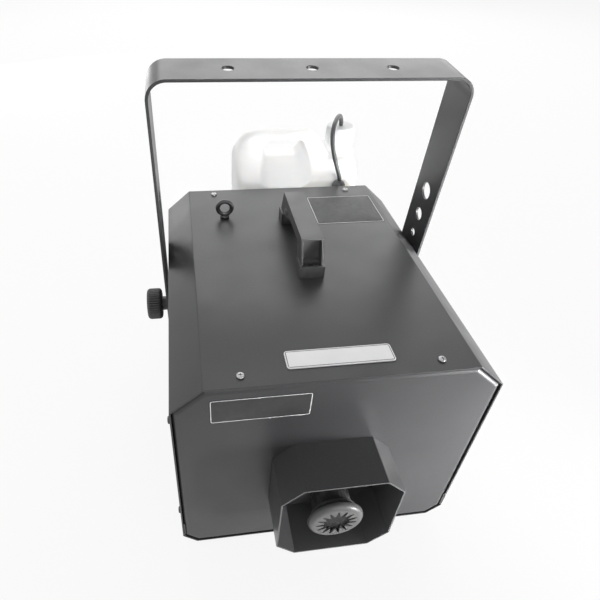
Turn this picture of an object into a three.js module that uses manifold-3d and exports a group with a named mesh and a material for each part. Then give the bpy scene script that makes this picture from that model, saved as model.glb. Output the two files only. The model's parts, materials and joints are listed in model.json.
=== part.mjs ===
// Foam-snow ("fog") machine: an eight-sided sheet-metal cabinet with an eight-sided outlet duct on
// its front, a tilting hanging yoke clamped by two hand knobs, and a fluid can standing on a tray
// behind it. Millimetres, +Z up. The outlet faces -Y, +X is to the right of a person facing it.
//
// Inside the file the cabinet's front edge lies at y = 0 and the feet stand on z = 0. The exported
// group is shifted along Y so that its origin is the middle of the whole object's footprint.

import * as THREE from 'three';
import { mergeVertices } from 'three/addons/utils/BufferGeometryUtils.js';
import Module from 'manifold-3d';

const wasm = await Module();
wasm.setup();

// ---------------------------------------------------------------- driving dimensions

const GAP = 0.3; // air between pieces that touch on the real object
const SHEET = 1.5; // steel sheet of the cabinet
const PIERCE = 5; // how far a cutting tool passes each side of the sheet it pierces

// sides of round things: screws and small holes, fittings, drums and cups
const SMALL = 12;
const MEDIUM = 16;
const LARGE = 28;

const CABINET = { width: 300, height: 257.5, length: 336 };
const TOP_BEVEL = { across: 29, drop: 26 }; // long upper corner bevels
const LOW_BEVEL = { across: 15, drop: 15.5 }; // small lower corner bevels
const FLANGE = 17; // depth of the end panels' turned edges
const LAP = 22; // height of the base pan's inner side flanges

const FOOT = { radius: 11, height: 10, fromSide: 38, fromEnd: 32, plug: 1.5, plugLength: 5, dimple: 3 };

const DUCT = { width: 115.5, height: 117, bevel: 19.5, reach: 47.4, centreAboveBase: 111 };
const DUCT_RIM = 12; // mounting rim of the duct, behind the front panel
const NOZZLE = { radius: 27.5, faceRadius: 22.2, length: 13, wall: 2.5, aboveBase: 100, faceY: -45 };
const STAR = { slots: 15, inner: 12.5, outer: 20.4, rootWidth: 4.2, tipWidth: 1.6 };
const AIR_PIPE = { radius: 19.5, wall: 2, length: 132 };
const SPRAY_JET = { radius: 4, outside: 6.5, y: 30, tip: 2.4 };

const COVER_SCREW = { fromCentre: 89, fromEdge: 12, headRadius: 3.6, headHeight: 2.1, shank: 1.5, length: 6 };
const SIDE_SCREW = { fromEdge: 9, lowZ: 67, highZ: 222 };

const PLATE = { width: 97.2, depth: 20.6, fromFront: 14.9, thickness: 1, corner: 3 };

const HANDLE = { length: 126, width: 23.2, height: 40.5, centreY: 200, grip: 12.5, rake: 13, leg: 19 };
const HANDLE_FOOT = { width: 26.6, height: 14 };
const HANDLE_POCKET = { width: 19.4, depth: 9, seat: 9, lip: 2.5, roof: 1.6 };
const HANDLE_SCREW = { headRadius: 3.8, headHeight: 2.4, shank: 2, length: 15 };

const EYE = { x: -79.8, y: 266, ringOuter: 11, ringBar: 2.6, collar: 5.6, collarHeight: 3.4, thread: 3 };
const EYE_NUT = { radius: 5.8, height: 5 };

const YOKE = { bar: 3, width: 52, legLength: 300.5, corner: 20, leanDegrees: 4.5 };
const YOKE_TOP_HOLE = { radius: 6, pitch: 80 };
const YOKE_LEG_HOLES = [
  { fromTop: 141.4, radius: 10 },
  { fromTop: 174, radius: 7.75 },
  { fromTop: 201.7, radius: 5 },
];
const PIVOT = { y: 244, aboveBase: 145 };
const KNOB = { radius: 20, thickness: 19, bevel: 4, ribs: 20, ribDepth: 1.1 };
const KNOB_COLLAR = { radius: 9, length: 6.6 };
const STUD = { radius: 4, reachInside: 12 };
const WASHER = { radius: 15, thickness: 3.2 };
const PIVOT_NUT = { radius: 8, thickness: 6 };

const CAN = {
  width: 175, depth: 122, centreX: 35.5, corner: 22, heel: 12, wall: 2.2,
  eaves: 252, bodyTop: 271, roof: 286, handleTop: 303.5,
};
const CAN_GAP_BEHIND_CABINET = 27;
const CAN_GRIP = { width: 26, low: 270, high: 292.5, left: -10, right: 47 };
const CAN_NECK = { radius: 17, x: 103, mouth: 297 };
const CAN_CAP = { wall: 2.9, bottom: 283, top: 309, ribs: 16, ribDepth: 0.9, crown: 3 };
const TRAY = { floorAboveGround: 17.5, rim: 30, clearance: 2.5 };

const HOSE = { radius: 3, sides: 8, steps: 36 };
const PICKUP_FILTER = { radius: 6, height: 18 };
const ELBOW = {
  x: 88, fromRear: 15, aboveTop: 0.5, rise: 16, collarRadius: 7, domeRadius: 9.2, threadRadius: 5, thread: 14,
};

const CONTROLS = { fromSide: 46, inlet: 60, fuse: 100, rocker: 137, dial: 176 }; // heights above the base
const INLET = { width: 48, height: 27, bezel: 2.4, recessWidth: 25, recessHeight: 17, recess: 14, body: 22 };
const FUSE = { radius: 7.5, cap: 9, body: 26, offset: -17 };
const REMOTE_SOCKET = { radius: 9.5, offset: 17, proud: 5, body: 18, recess: 9, bore: 6.5 };
const ROCKER = { width: 21, height: 15, bezel: 2, body: 17, tilt: 9, frame: 2 };
const DIAL = { radius: 10, height: 12, shaft: 3, body: 9, bodyDepth: 10, offset: -17 };
const BUTTON = { radius: 6, rim: 8.5, rimProud: 2, proud: 4.6, body: 12, offset: 17 };

const BLOWER = {
  centreY: 205, aboveBase: 134, round: 10, beside: 6, wall: 2, eye: 30, outlet: 46, stand: 60,
};
const WHEEL = { radius: 50, hub: 12, blades: 18, width: 42, blade: 1.6, chord: 14, rim: 2, curve: 0.55 };
const MOTOR = { radius: 31, length: 52, shaft: 3, boss: 8, reach: 12 };
const PUMP = { x: 92, fromRear: 50, aboveBase: 44, coil: 30, coilLength: 34, barrel: 9, length: 74 };
const LINE_RADIUS = 2.5; // fluid lines inside the cabinet
const PLUNGER = { radius: 5.1, length: 26, clearance: 0.4 };
const BOARD = { width: 92, height: 66, thickness: 1.6, post: 8, y: 150, aboveBase: 120 };
const VENT = { slots: 9, width: 3.4, height: 46, pitch: 9, centreY: 205, aboveBase: 134 };

// ---------------------------------------------------------------- derived places

const BASE_Z = FOOT.height;
const TOP_Z = BASE_Z + CABINET.height;
const HALF_W = CABINET.width / 2;
const SEAM_Z = BASE_Z + LOW_BEVEL.drop + 4; // lower edge of the cover, upper edge of the base pan
const NOZZLE_Z = BASE_Z + NOZZLE.aboveBase;
const DUCT_Z = BASE_Z + DUCT.centreAboveBase;
const BLOWER_Z = BASE_Z + BLOWER.aboveBase;
const PIVOT_Z = BASE_Z + PIVOT.aboveBase;
const REAR = CABINET.length;
const YOKE_INNER = HALF_W + WASHER.thickness + 2 * GAP;
const YOKE_OUTER = YOKE_INNER + YOKE.bar;
const CAN_FRONT = REAR + CAN_GAP_BEHIND_CABINET;
const CAN_REAR = CAN_FRONT + CAN.depth;
const CAN_MID = CAN_FRONT + CAN.depth / 2;
const CAP_RADIUS = CAN_NECK.radius + 2 * GAP + CAN_CAP.wall;
const CAN_FLOOR = TRAY.floorAboveGround + GAP;
const TRAY_REAR = CAN_REAR + TRAY.clearance + SHEET;
const PANEL_INSET = SHEET + GAP; // the end panels sit inside the cover and the base pan
const HANDLE_SCREW_Y = HANDLE.length / 2 - HANDLE_POCKET.lip - HANDLE_POCKET.depth / 2; // from the centre
const FOOTPRINT_MIDDLE = (TRAY_REAR - DUCT.reach) / 2;

// ---------------------------------------------------------------- materials

const finish = (color, roughness, metalness) =>
  new THREE.MeshStandardMaterial({ color, roughness, metalness });

const BLACK_COAT = [0x3c3c3e, 0.5, 0.1];
const BLACK_PLASTIC = [0x222224, 0.55, 0];
const GREY_PLASTIC = [0x6a6a6c, 0.5, 0];
const RUBBER = [0x1b1b1c, 0.9, 0];
const ZINC = [0xb6b8ba, 0.35, 0.9];
const BLACK_STEEL = [0x2a2a2c, 0.4, 0.7];
const COPPER = [0xa8683c, 0.4, 0.8];
const NATURAL_POLYTHENE = [0xeef0ee, 0.4, 0];
const WHITE_PLATE = [0xe9e9ea, 0.35, 0];
const BOARD_GREEN = [0x1f5a36, 0.5, 0];
const CLEAR_TUBE = [0xc9cfd0, 0.25, 0];

// ---------------------------------------------------------------- solids

/** Closed three.js geometry -> manifold solid. */
function solid(geometry) {
  const bare = geometry.clone();
  bare.deleteAttribute('normal');
  bare.deleteAttribute('uv');
  const merged = mergeVertices(bare, 1e-4);
  return new wasm.Manifold(
    new wasm.Mesh({
      numProp: 3,
      vertProperties: new Float32Array(merged.attributes.position.array),
      triVerts: new Uint32Array(merged.index.array),
    }),
  );
}

/** Manifold solid -> flat-shaded three.js geometry. */
function geometryOf(body) {
  const { vertProperties, triVerts } = body.getMesh();
  const geometry = new THREE.BufferGeometry();
  geometry.setAttribute('position', new THREE.BufferAttribute(new Float32Array(vertProperties), 3));
  geometry.setIndex(new THREE.BufferAttribute(new Uint32Array(triVerts), 1));
  const flat = geometry.toNonIndexed();
  flat.computeVertexNormals();
  return flat;
}

const join = (...bodies) => bodies.reduce((sum, body) => sum.add(body));
const cut = (body, ...tools) => tools.reduce((rest, tool) => rest.subtract(tool), body);

/** Box between two corners. */
function block([x0, y0, z0], [x1, y1, z1]) {
  const geometry = new THREE.BoxGeometry(x1 - x0, y1 - y0, z1 - z0);
  return solid(geometry.translate((x0 + x1) / 2, (y0 + y1) / 2, (z0 + z1) / 2));
}

/** Rod (or cone, with endRadius) along an axis, from one coordinate to another. */
function rod(axis, radius, from, to, [u, v] = [0, 0], sides = 24, endRadius = radius) {
  const geometry = new THREE.CylinderGeometry(endRadius, radius, to - from, sides);
  geometry.translate(0, (from + to) / 2, 0);
  if (axis === 'x') return solid(geometry.rotateZ(-Math.PI / 2).translate(0, u, v));
  if (axis === 'z') return solid(geometry.rotateX(Math.PI / 2).translate(u, v, 0));
  return solid(geometry.translate(u, 0, v));
}

/** Round piece turned about an axis from [radius, height] points that start and end on the axis. */
function turned(axis, profile, [u, v] = [0, 0], sides = 32) {
  const geometry = new THREE.LatheGeometry(profile.map(([r, h]) => new THREE.Vector2(r, h)), sides);
  if (axis === 'x') return solid(geometry.rotateZ(-Math.PI / 2).translate(0, u, v));
  if (axis === 'z') return solid(geometry.rotateX(Math.PI / 2).translate(u, v, 0));
  return solid(geometry.translate(u, 0, v));
}

const EXTRUDE_FRAMES = {
  x: new THREE.Matrix4().makeBasis(
    new THREE.Vector3(0, 1, 0), new THREE.Vector3(0, 0, 1), new THREE.Vector3(1, 0, 0)),
  y: new THREE.Matrix4().makeBasis(
    new THREE.Vector3(1, 0, 0), new THREE.Vector3(0, 0, 1), new THREE.Vector3(0, -1, 0)),
  z: new THREE.Matrix4(),
};

/** Outline carried along an axis: (y, z) outlines along x, (x, z) along y and (x, y) along z. */
function extruded(axis, shape, from, to, curveSegments = 8) {
  const options = { depth: to - from, bevelEnabled: false, curveSegments };
  const geometry = new THREE.ExtrudeGeometry(shape, options).applyMatrix4(EXTRUDE_FRAMES[axis]);
  if (axis === 'x') geometry.translate(from, 0, 0);
  if (axis === 'y') geometry.translate(0, to, 0);
  if (axis === 'z') geometry.translate(0, 0, from);
  return solid(geometry);
}

/** Round hole through a sheet at one coordinate of an axis, a gap wider than the shank it passes. */
const holeFor = (axis, shank, at, place, sides = SMALL) =>
  rod(axis, shank + GAP, at - PIERCE, at + PIERCE, place, sides);

// ---------------------------------------------------------------- outlines

const polygon = (points) => new THREE.Shape(points.map(([x, y]) => new THREE.Vector2(x, y)));

/** Moves every edge of a counter-clockwise outline inwards by a distance. */
function inset(points, distance) {
  const lines = points.map((start, i) => {
    const end = points[(i + 1) % points.length];
    const along = [end[0] - start[0], end[1] - start[1]];
    const size = Math.hypot(...along);
    const inward = [(-along[1] / size) * distance, (along[0] / size) * distance];
    return { at: [start[0] + inward[0], start[1] + inward[1]], along };
  });
  return lines.map((line, i) => {
    const before = lines[(i + lines.length - 1) % lines.length];
    const cross = before.along[0] * line.along[1] - before.along[1] * line.along[0];
    const offset = [line.at[0] - before.at[0], line.at[1] - before.at[1]];
    const t = (offset[0] * line.along[1] - offset[1] * line.along[0]) / cross;
    return [before.at[0] + before.along[0] * t, before.at[1] + before.along[1] * t];
  });
}

/** Eight-sided outline with one bevel at the lower corners and another at the upper corners. */
function octagon(halfWidth, bottom, top, low, high) {
  const right = [
    [halfWidth - low.across, bottom],
    [halfWidth, bottom + low.drop],
    [halfWidth, top - high.drop],
    [halfWidth - high.across, top],
  ];
  const left = right.map(([x, z]) => [-x, z]).reverse();
  return [...right, ...left];
}

const CABINET_OUTLINE = octagon(HALF_W, BASE_Z, TOP_Z, LOW_BEVEL, TOP_BEVEL);
const DUCT_BEVEL = { across: DUCT.bevel, drop: DUCT.bevel };
const DUCT_OUTLINE = octagon(
  DUCT.width / 2, DUCT_Z - DUCT.height / 2, DUCT_Z + DUCT.height / 2, DUCT_BEVEL, DUCT_BEVEL);

/** Tube of an outline's shape: its wall lies between two insets. */
function sleeve(points, outerInset, innerInset, from, to) {
  const outside = extruded('y', polygon(inset(points, outerInset)), from, to);
  return cut(outside, extruded('y', polygon(inset(points, innerInset)), from - 1, to + 1));
}

/** Rectangle with rounded corners about a centre. */
function roundedRectangle(width, height, radius, cx = 0, cy = 0) {
  const [x, y] = [cx - width / 2, cy - height / 2];
  const shape = new THREE.Shape();
  shape.moveTo(x + radius, y);
  shape.lineTo(x + width - radius, y);
  shape.absarc(x + width - radius, y + radius, radius, -Math.PI / 2, 0);
  shape.absarc(x + width - radius, y + height - radius, radius, 0, Math.PI / 2);
  shape.absarc(x + radius, y + height - radius, radius, Math.PI / 2, Math.PI);
  shape.absarc(x + radius, y + radius, radius, Math.PI, Math.PI * 1.5);
  return shape;
}

// ---------------------------------------------------------------- the group and its nodes

const machine = new THREE.Group();
machine.position.y = -FOOTPRINT_MIDDLE;

function addNode(name, body, look, parent = machine) {
  const mesh = new THREE.Mesh(geometryOf(body), finish(...look));
  mesh.name = name;
  parent.add(mesh);
  return mesh;
}

const SIDES = [['left', -1], ['right', 1]];
const ENDS = [['front', -1], ['rear', 1]];

// ---------------------------------------------------------------- cabinet

/** Rows of upright cooling slots cut through one side wall. */
function ventSlots(side) {
  const wall = side * HALF_W;
  return Array.from({ length: VENT.slots }, (_, i) => {
    const y = VENT.centreY + (i - (VENT.slots - 1) / 2) * VENT.pitch;
    const z = BASE_Z + VENT.aboveBase;
    return block(
      [wall - 2 * SHEET, y - VENT.width / 2, z - VENT.height / 2],
      [wall + 2 * SHEET, y + VENT.width / 2, z + VENT.height / 2]);
  });
}

function coverShell() {
  const wrap = cut(
    sleeve(CABINET_OUTLINE, 0, SHEET, 0, REAR),
    block([-HALF_W - 1, -1, 0], [HALF_W + 1, REAR + 1, SEAM_Z + GAP]));
  const holes = [holeFor('z', EYE.thread, TOP_Z, [EYE.x, EYE.y])];
  for (const [, end] of ENDS) {
    const y = end < 0 ? COVER_SCREW.fromEdge : REAR - COVER_SCREW.fromEdge;
    for (const [, side] of SIDES) {
      holes.push(holeFor('z', COVER_SCREW.shank, TOP_Z, [side * COVER_SCREW.fromCentre, y]));
    }
    const handleEnd = HANDLE.centreY + end * HANDLE_SCREW_Y;
    holes.push(holeFor('z', HANDLE_SCREW.shank, TOP_Z, [0, handleEnd]));
  }
  for (const [, side] of SIDES) {
    const wall = side * HALF_W;
    for (const z of [SIDE_SCREW.lowZ, SIDE_SCREW.highZ]) {
      holes.push(holeFor('x', COVER_SCREW.shank, wall, [SIDE_SCREW.fromEdge, z]));
    }
    holes.push(holeFor('x', STUD.radius, wall, [PIVOT.y, PIVOT_Z], MEDIUM));
  }
  return cut(wrap, ...holes, ...ventSlots(-1), ...ventSlots(1));
}

function basePan() {
  const lower = cut(
    sleeve(CABINET_OUTLINE, 0, SHEET, 0, REAR),
    block([-HALF_W - 1, -1, SEAM_Z], [HALF_W + 1, REAR + 1, TOP_Z + 1]));
  const outside = HALF_W - SHEET - GAP;
  const ends = [FLANGE + 2 * GAP + SHEET, REAR - FLANGE - 2 * GAP - SHEET];
  const laps = SIDES.map(([, side]) => {
    const [x0, x1] = [side * outside, side * (outside - SHEET)].sort((a, b) => a - b);
    const flange = block([x0, ends[0], SEAM_Z - SHEET - 1], [x1, ends[1], SEAM_Z + LAP]);
    const [j0, j1] = [side * (HALF_W - SHEET / 2), side * (outside - SHEET)].sort((a, b) => a - b);
    return join(flange, block([j0, ends[0], SEAM_Z - SHEET - 1], [j1, ends[1], SEAM_Z - 1]));
  });
  const footHoles = FEET.map(({ x, y }) => holeFor('z', FOOT.plug, BASE_Z, [x, y]));
  return cut(join(lower, ...laps), ...footHoles);
}

const FEET = ENDS.flatMap(([endName, end]) =>
  SIDES.map(([sideName, side]) => ({
    name: `foot_${endName}_${sideName}`,
    x: side * (HALF_W - FOOT.fromSide),
    y: end < 0 ? FOOT.fromEnd : REAR - FOOT.fromEnd,
  })));

/** Rubber foot with a dimple under its centre and a plug that fills the pan's hole. */
function footBody() {
  const { radius, height, plug, plugLength, dimple } = FOOT;
  return turned('z', [
    [0, dimple], [4, dimple], [4.6, 0], [radius - 1.5, 0], [radius - 0.6, 0.8], [radius, height - GAP],
    [plug, height - GAP], [plug, height + plugLength], [0, height + plugLength],
  ], [0, 0], MEDIUM);
}

/** End panel: a plate whose edges are turned inwards all round. end is -1 at the front, 1 at the rear. */
function endPanel(end, openings) {
  const face = end < 0 ? 0 : REAR;
  const into = -end;
  const span = (a, b) => [face + into * a, face + into * b].sort((p, q) => p - q);
  const plate = extruded('y', polygon(inset(CABINET_OUTLINE, PANEL_INSET)), ...span(0, SHEET));
  const edge = sleeve(CABINET_OUTLINE, PANEL_INSET, PANEL_INSET + SHEET, ...span(SHEET / 2, FLANGE));
  const y = face + into * COVER_SCREW.fromEdge;
  const topHoles = SIDES.map(([, side]) =>
    holeFor('z', COVER_SCREW.shank, TOP_Z, [side * COVER_SCREW.fromCentre, y]));
  return cut(join(plate, edge), ...topHoles, ...openings);
}

function frontPanel() {
  const opening = extruded('y', polygon(inset(DUCT_OUTLINE, -GAP)), -1, SHEET + 1);
  const sideHoles = SIDES.flatMap(([, side]) =>
    [SIDE_SCREW.lowZ, SIDE_SCREW.highZ].map((z) =>
      holeFor('x', COVER_SCREW.shank, side * HALF_W, [SIDE_SCREW.fromEdge, z])));
  return endPanel(-1, [opening, ...sideHoles]);
}

/** Pan-head screw with a cross recess, its head's seat at the origin and its shank along -Z. */
function panHeadScrew({ headRadius, headHeight, shank, length }) {
  const head = turned('z', [
    [0, -length], [shank, -length], [shank, 0], [headRadius, 0], [headRadius * 0.85, headHeight * 0.75],
    [headRadius * 0.45, headHeight], [0, headHeight],
  ], [0, 0], SMALL);
  const [arm, blade] = [headRadius * 0.45, headRadius * 0.11];
  const recess = [[arm, blade], [blade, arm]].map(([x, y]) =>
    block([-x, -y, headHeight * 0.4], [x, y, headHeight + 1]));
  return cut(head, ...recess);
}

addNode('cover_shell', coverShell(), BLACK_COAT);
addNode('base_pan', basePan(), BLACK_COAT);
addNode('front_panel', frontPanel(), BLACK_COAT);
for (const { name, x, y } of FEET) addNode(name, footBody(), RUBBER).position.set(x, y, 0);

for (const [endName, end] of ENDS) {
  for (const [sideName, side] of SIDES) {
    const screw = panHeadScrew(COVER_SCREW);
    const y = end < 0 ? COVER_SCREW.fromEdge : REAR - COVER_SCREW.fromEdge;
    const node = addNode(`cover_screw_${endName}_${sideName}`, screw, ZINC);
    node.position.set(side * COVER_SCREW.fromCentre, y, TOP_Z + GAP);
  }
}

for (const [sideName, side] of SIDES) {
  for (const [level, z] of [['low', SIDE_SCREW.lowZ], ['high', SIDE_SCREW.highZ]]) {
    const screw = panHeadScrew(COVER_SCREW);
    const node = addNode(`side_screw_${sideName}_${level}`, screw, BLACK_STEEL);
    node.position.set(side * (HALF_W + GAP), SIDE_SCREW.fromEdge, z);
    node.rotation.y = (side * Math.PI) / 2;
  }
}

// ---------------------------------------------------------------- outlet duct and nozzle

function outletDuct() {
  const tube = sleeve(DUCT_OUTLINE, 0, SHEET, -DUCT.reach, 2 * SHEET + GAP);
  const rim = sleeve(DUCT_OUTLINE, -DUCT_RIM, SHEET, SHEET + GAP, 2 * SHEET + GAP);
  const back = extruded('y', polygon(DUCT_OUTLINE), SHEET + GAP, 2 * SHEET + GAP);
  const pipeHole = rod('y', AIR_PIPE.radius + GAP, -1, 9, [0, NOZZLE_Z], LARGE);
  return cut(join(tube, rim, back), pipeHole);
}

/** Opening in the nozzle's face: a round hole with narrow, tapering slots running outwards from it. */
function starOpening() {
  const shape = new THREE.Shape();
  const half = STAR.rootWidth / 2;
  const tipHalf = STAR.tipWidth / 2;
  const mouth = Math.asin(half / STAR.inner);
  for (let i = 0; i < STAR.slots; i++) {
    const turn = (i / STAR.slots) * 2 * Math.PI;
    const place = (along, across) => [
      along * Math.cos(turn) - across * Math.sin(turn), along * Math.sin(turn) + across * Math.cos(turn)];
    const root = STAR.inner * Math.cos(mouth);
    const tip = STAR.outer - tipHalf;
    const points = [[root, -half], [tip, -tipHalf], [STAR.outer, 0], [tip, tipHalf], [root, half]];
    points.forEach(([along, across], k) => {
      const [x, y] = place(along, across);
      if (i === 0 && k === 0) shape.moveTo(x, y);
      else shape.lineTo(x, y);
    });
  }
  return shape;
}

/** Cup with a rounded front edge; it slides over the end of the air pipe. */
function nozzleCup() {
  const { radius, faceRadius, length, wall } = NOZZLE;
  const round = radius - faceRadius;
  const steps = 4;
  const edge = Array.from({ length: steps + 1 }, (_, i) => {
    const a = (i / steps) * (Math.PI / 2);
    return [faceRadius + round * Math.sin(a), round * (1 - Math.cos(a))];
  });
  const bore = AIR_PIPE.radius + GAP;
  const cup = turned('y', [
    [0, 0], ...edge, [radius, length * 0.5], [bore + wall, length * 0.75], [bore + wall, length],
    [bore, length], [bore, wall], [0, wall],
  ], [0, 0], LARGE);
  return cut(cup, extruded('y', starOpening(), -wall / 2, 1.5 * wall));
}

const PIPE_FRONT = NOZZLE.faceY + NOZZLE.wall + 2.2;
const GAUZE_Y = NOZZLE.faceY + NOZZLE.wall + GAP;
const PIPE_REAR = PIPE_FRONT + AIR_PIPE.length;

addNode('outlet_duct', outletDuct(), BLACK_COAT);
addNode('nozzle_cup', nozzleCup(), GREY_PLASTIC).position.set(0, NOZZLE.faceY, NOZZLE_Z);
addNode('nozzle_gauze', rod('y', AIR_PIPE.radius - GAP, GAUZE_Y, GAUZE_Y + 1, [0, NOZZLE_Z]), ZINC);
addNode(
  'air_pipe',
  cut(
    rod('y', AIR_PIPE.radius, PIPE_FRONT, PIPE_REAR, [0, NOZZLE_Z], LARGE),
    rod('y', AIR_PIPE.radius - AIR_PIPE.wall, PIPE_FRONT - 1, PIPE_REAR + 1, [0, NOZZLE_Z], LARGE),
    rod('z', SPRAY_JET.radius + GAP, NOZZLE_Z, NOZZLE_Z + 2 * AIR_PIPE.radius, [0, SPRAY_JET.y], SMALL)),
  BLACK_PLASTIC);

/** Fluid jet: a stem through the pipe's wall, a hexagon outside it and a tip that faces the outlet. */
function sprayJet() {
  const { radius, outside, y, tip } = SPRAY_JET;
  const wall = NOZZLE_Z + AIR_PIPE.radius;
  return join(
    rod('z', radius, NOZZLE_Z, wall + outside, [0, y], SMALL),
    rod('z', radius + tip, wall + GAP, wall + radius, [0, y], 6),
    rod('y', tip, y - 3 * radius, y + 1, [0, NOZZLE_Z + tip + GAP], SMALL));
}
addNode('spray_jet', sprayJet(), ZINC);

// ---------------------------------------------------------------- blower

const VOLUTE_RADIUS = WHEEL.radius + BLOWER.round + BLOWER.wall;
const VOLUTE_HALF = WHEEL.width / 2 + BLOWER.beside + BLOWER.wall;
const VOLUTE_X = [-VOLUTE_HALF, VOLUTE_HALF];
const OUTLET_Z = [NOZZLE_Z - BLOWER.outlet / 2, NOZZLE_Z + BLOWER.outlet / 2];

/** Volute side view: a round drum whose lower front runs out into a square outlet. */
function voluteOutline(shrink) {
  const r = VOLUTE_RADIUS - shrink;
  const [low, high] = [OUTLET_Z[0] + shrink, OUTLET_Z[1] - shrink];
  const front = PIPE_REAR + GAP - (shrink > 0 ? 1 : 0);
  const start = Math.asin((low - BLOWER_Z) / r);
  const end = Math.PI - Math.asin((high - BLOWER_Z) / r);
  const shape = new THREE.Shape();
  shape.moveTo(front, low);
  shape.lineTo(BLOWER.centreY, Math.min(low, BLOWER_Z - r));
  shape.absarc(BLOWER.centreY, BLOWER_Z, r, Math.max(start, -Math.PI / 2), end, false);
  shape.lineTo(front, high);
  return shape;
}

function blowerHousing() {
  const [x0, x1] = VOLUTE_X;
  const { wall, centreY, stand } = BLOWER;
  const shaft = [centreY, BLOWER_Z];
  const drum = extruded('x', voluteOutline(0), x0, x1, MEDIUM);
  const inside = extruded('x', voluteOutline(wall), x0 + wall, x1 - wall, MEDIUM);
  const legs = cut(
    block(
      [x0, centreY - stand / 2, BASE_Z + SHEET + GAP],
      [x1, centreY + stand / 2, BLOWER_Z - VOLUTE_RADIUS + 3 * wall]),
    extruded('x', voluteOutline(wall / 2), x0 - 1, x1 + 1));
  const eye = rod('x', BLOWER.eye, x0 - 1, x0 + wall + 1, shaft, LARGE);
  return cut(join(drum, legs), inside, eye, rod('x', MOTOR.shaft + 1, 0, x1 + 1, shaft, SMALL));
}

/** Squirrel-cage wheel about the X axis: a back disc, a hub, a ring and forward-curved blades. */
function blowerWheel() {
  const half = WHEEL.width / 2;
  const disc = rod('x', WHEEL.radius, half - WHEEL.rim, half);
  const hub = rod('x', WHEEL.hub, -half / 2, half, [0, 0], MEDIUM);
  const ring = cut(
    rod('x', WHEEL.radius, -half, -half + WHEEL.rim),
    rod('x', WHEEL.radius - WHEEL.chord, -half - 1, -half + WHEEL.rim + 1));
  const blades = Array.from({ length: WHEEL.blades }, (_, i) => {
    const blade = new THREE.BoxGeometry(WHEEL.width - 1, WHEEL.blade, WHEEL.chord - 1);
    blade.rotateX(WHEEL.curve).translate(0, 0, WHEEL.radius - WHEEL.chord / 2 - 0.8);
    return solid(blade.rotateX((i / WHEEL.blades) * 2 * Math.PI));
  });
  const bore = rod('x', MOTOR.shaft + GAP, -half, half + 1, [0, 0], SMALL);
  return cut(join(disc, hub, ring, ...blades), bore);
}

/** Motor can with a bearing boss behind and its shaft running forward through the wheel. */
function blowerMotor() {
  const { radius, length, shaft, boss, reach } = MOTOR;
  const face = VOLUTE_X[1] + GAP;
  const back = face + length;
  const place = [BLOWER.centreY, BLOWER_Z];
  const can = turned('x', [
    [0, face], [radius, face], [radius, back - boss], [radius - boss, back], [boss, back],
    [boss, back + boss / 2], [0, back + boss / 2],
  ], place, LARGE);
  return join(can, rod('x', shaft, -reach, face + 1, place, SMALL));
}

addNode('blower_housing', blowerHousing(), BLACK_PLASTIC);
addNode('blower_wheel', blowerWheel(), BLACK_PLASTIC).position.set(0, BLOWER.centreY, BLOWER_Z);
addNode('blower_motor', blowerMotor(), ZINC);

// ---------------------------------------------------------------- pump and fluid lines

const PUMP_Z = BASE_Z + PUMP.aboveBase;
const PUMP_Y = REAR - PUMP.fromRear;
const PUMP_SPAN = [PUMP_Y - PUMP.length / 2, PUMP_Y + PUMP.length / 2 - 4];

/** Vibrating pump: a square coil round a brass barrel, standing on the base pan by its clamp. */
function pumpBody() {
  const barrel = rod('y', PUMP.barrel, ...PUMP_SPAN, [PUMP.x, PUMP_Z], MEDIUM);
  const half = PUMP.coil / 2;
  const coil = block(
    [PUMP.x - half, PUMP_Y - PUMP.coilLength / 2, PUMP_Z - half],
    [PUMP.x + half, PUMP_Y + PUMP.coilLength / 2, PUMP_Z + half]);
  const stand = block(
    [PUMP.x - half, PUMP_Y - 6, BASE_Z + SHEET + GAP], [PUMP.x + half, PUMP_Y + 6, PUMP_Z - half + 1]);
  const place = [PUMP.x, PUMP_Z];
  const bore = rod(
    'y', PLUNGER.radius + PLUNGER.clearance, PUMP_SPAN[0] - 1, PUMP_SPAN[1] + 1, place, MEDIUM);
  return cut(join(barrel, coil, stand), bore);
}
addNode('pump_body', pumpBody(), COPPER);
const plunger = rod('y', PLUNGER.radius, -PLUNGER.length / 2, PLUNGER.length / 2, [0, 0], MEDIUM);
addNode('pump_plunger', plunger, ZINC).position.set(PUMP.x, PUMP_Y, PUMP_Z);

/** Round tube along a smooth curve through points. */
function tubeAlong(points, radius, sides, steps) {
  const curve = new THREE.CatmullRomCurve3(points.map((p) => new THREE.Vector3(...p)), false, 'centripetal');
  const section = polygon(Array.from({ length: sides }, (_, i) => {
    const a = (i / sides) * 2 * Math.PI;
    return [radius * Math.cos(a), radius * Math.sin(a)];
  }));
  return solid(new THREE.ExtrudeGeometry(section, { steps, extrudePath: curve, bevelEnabled: false }));
}

const JET_TOP = NOZZLE_Z + AIR_PIPE.radius + SPRAY_JET.outside + GAP;
addNode('feed_tube', tubeAlong([
  [PUMP.x, PUMP_SPAN[0] - GAP, PUMP_Z],
  [PUMP.x, PUMP_SPAN[0] - 10, PUMP_Z],
  [PUMP.x, PUMP_SPAN[0] - 28, PUMP_Z + 5],
  [PUMP.x - 2, BLOWER.centreY - 26, PUMP_Z + 30],
  [PUMP.x - 12, BLOWER.centreY - 76, PUMP_Z + 75],
  [PUMP.x - 40, BLOWER.centreY - 121, PUMP_Z + 112],
  [24, 46, JET_TOP + 30],
  [4, 32, JET_TOP + 24],
  [0, SPRAY_JET.y, JET_TOP + 8],
  [0, SPRAY_JET.y, JET_TOP],
], LINE_RADIUS, 8, 20), CLEAR_TUBE);

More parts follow.
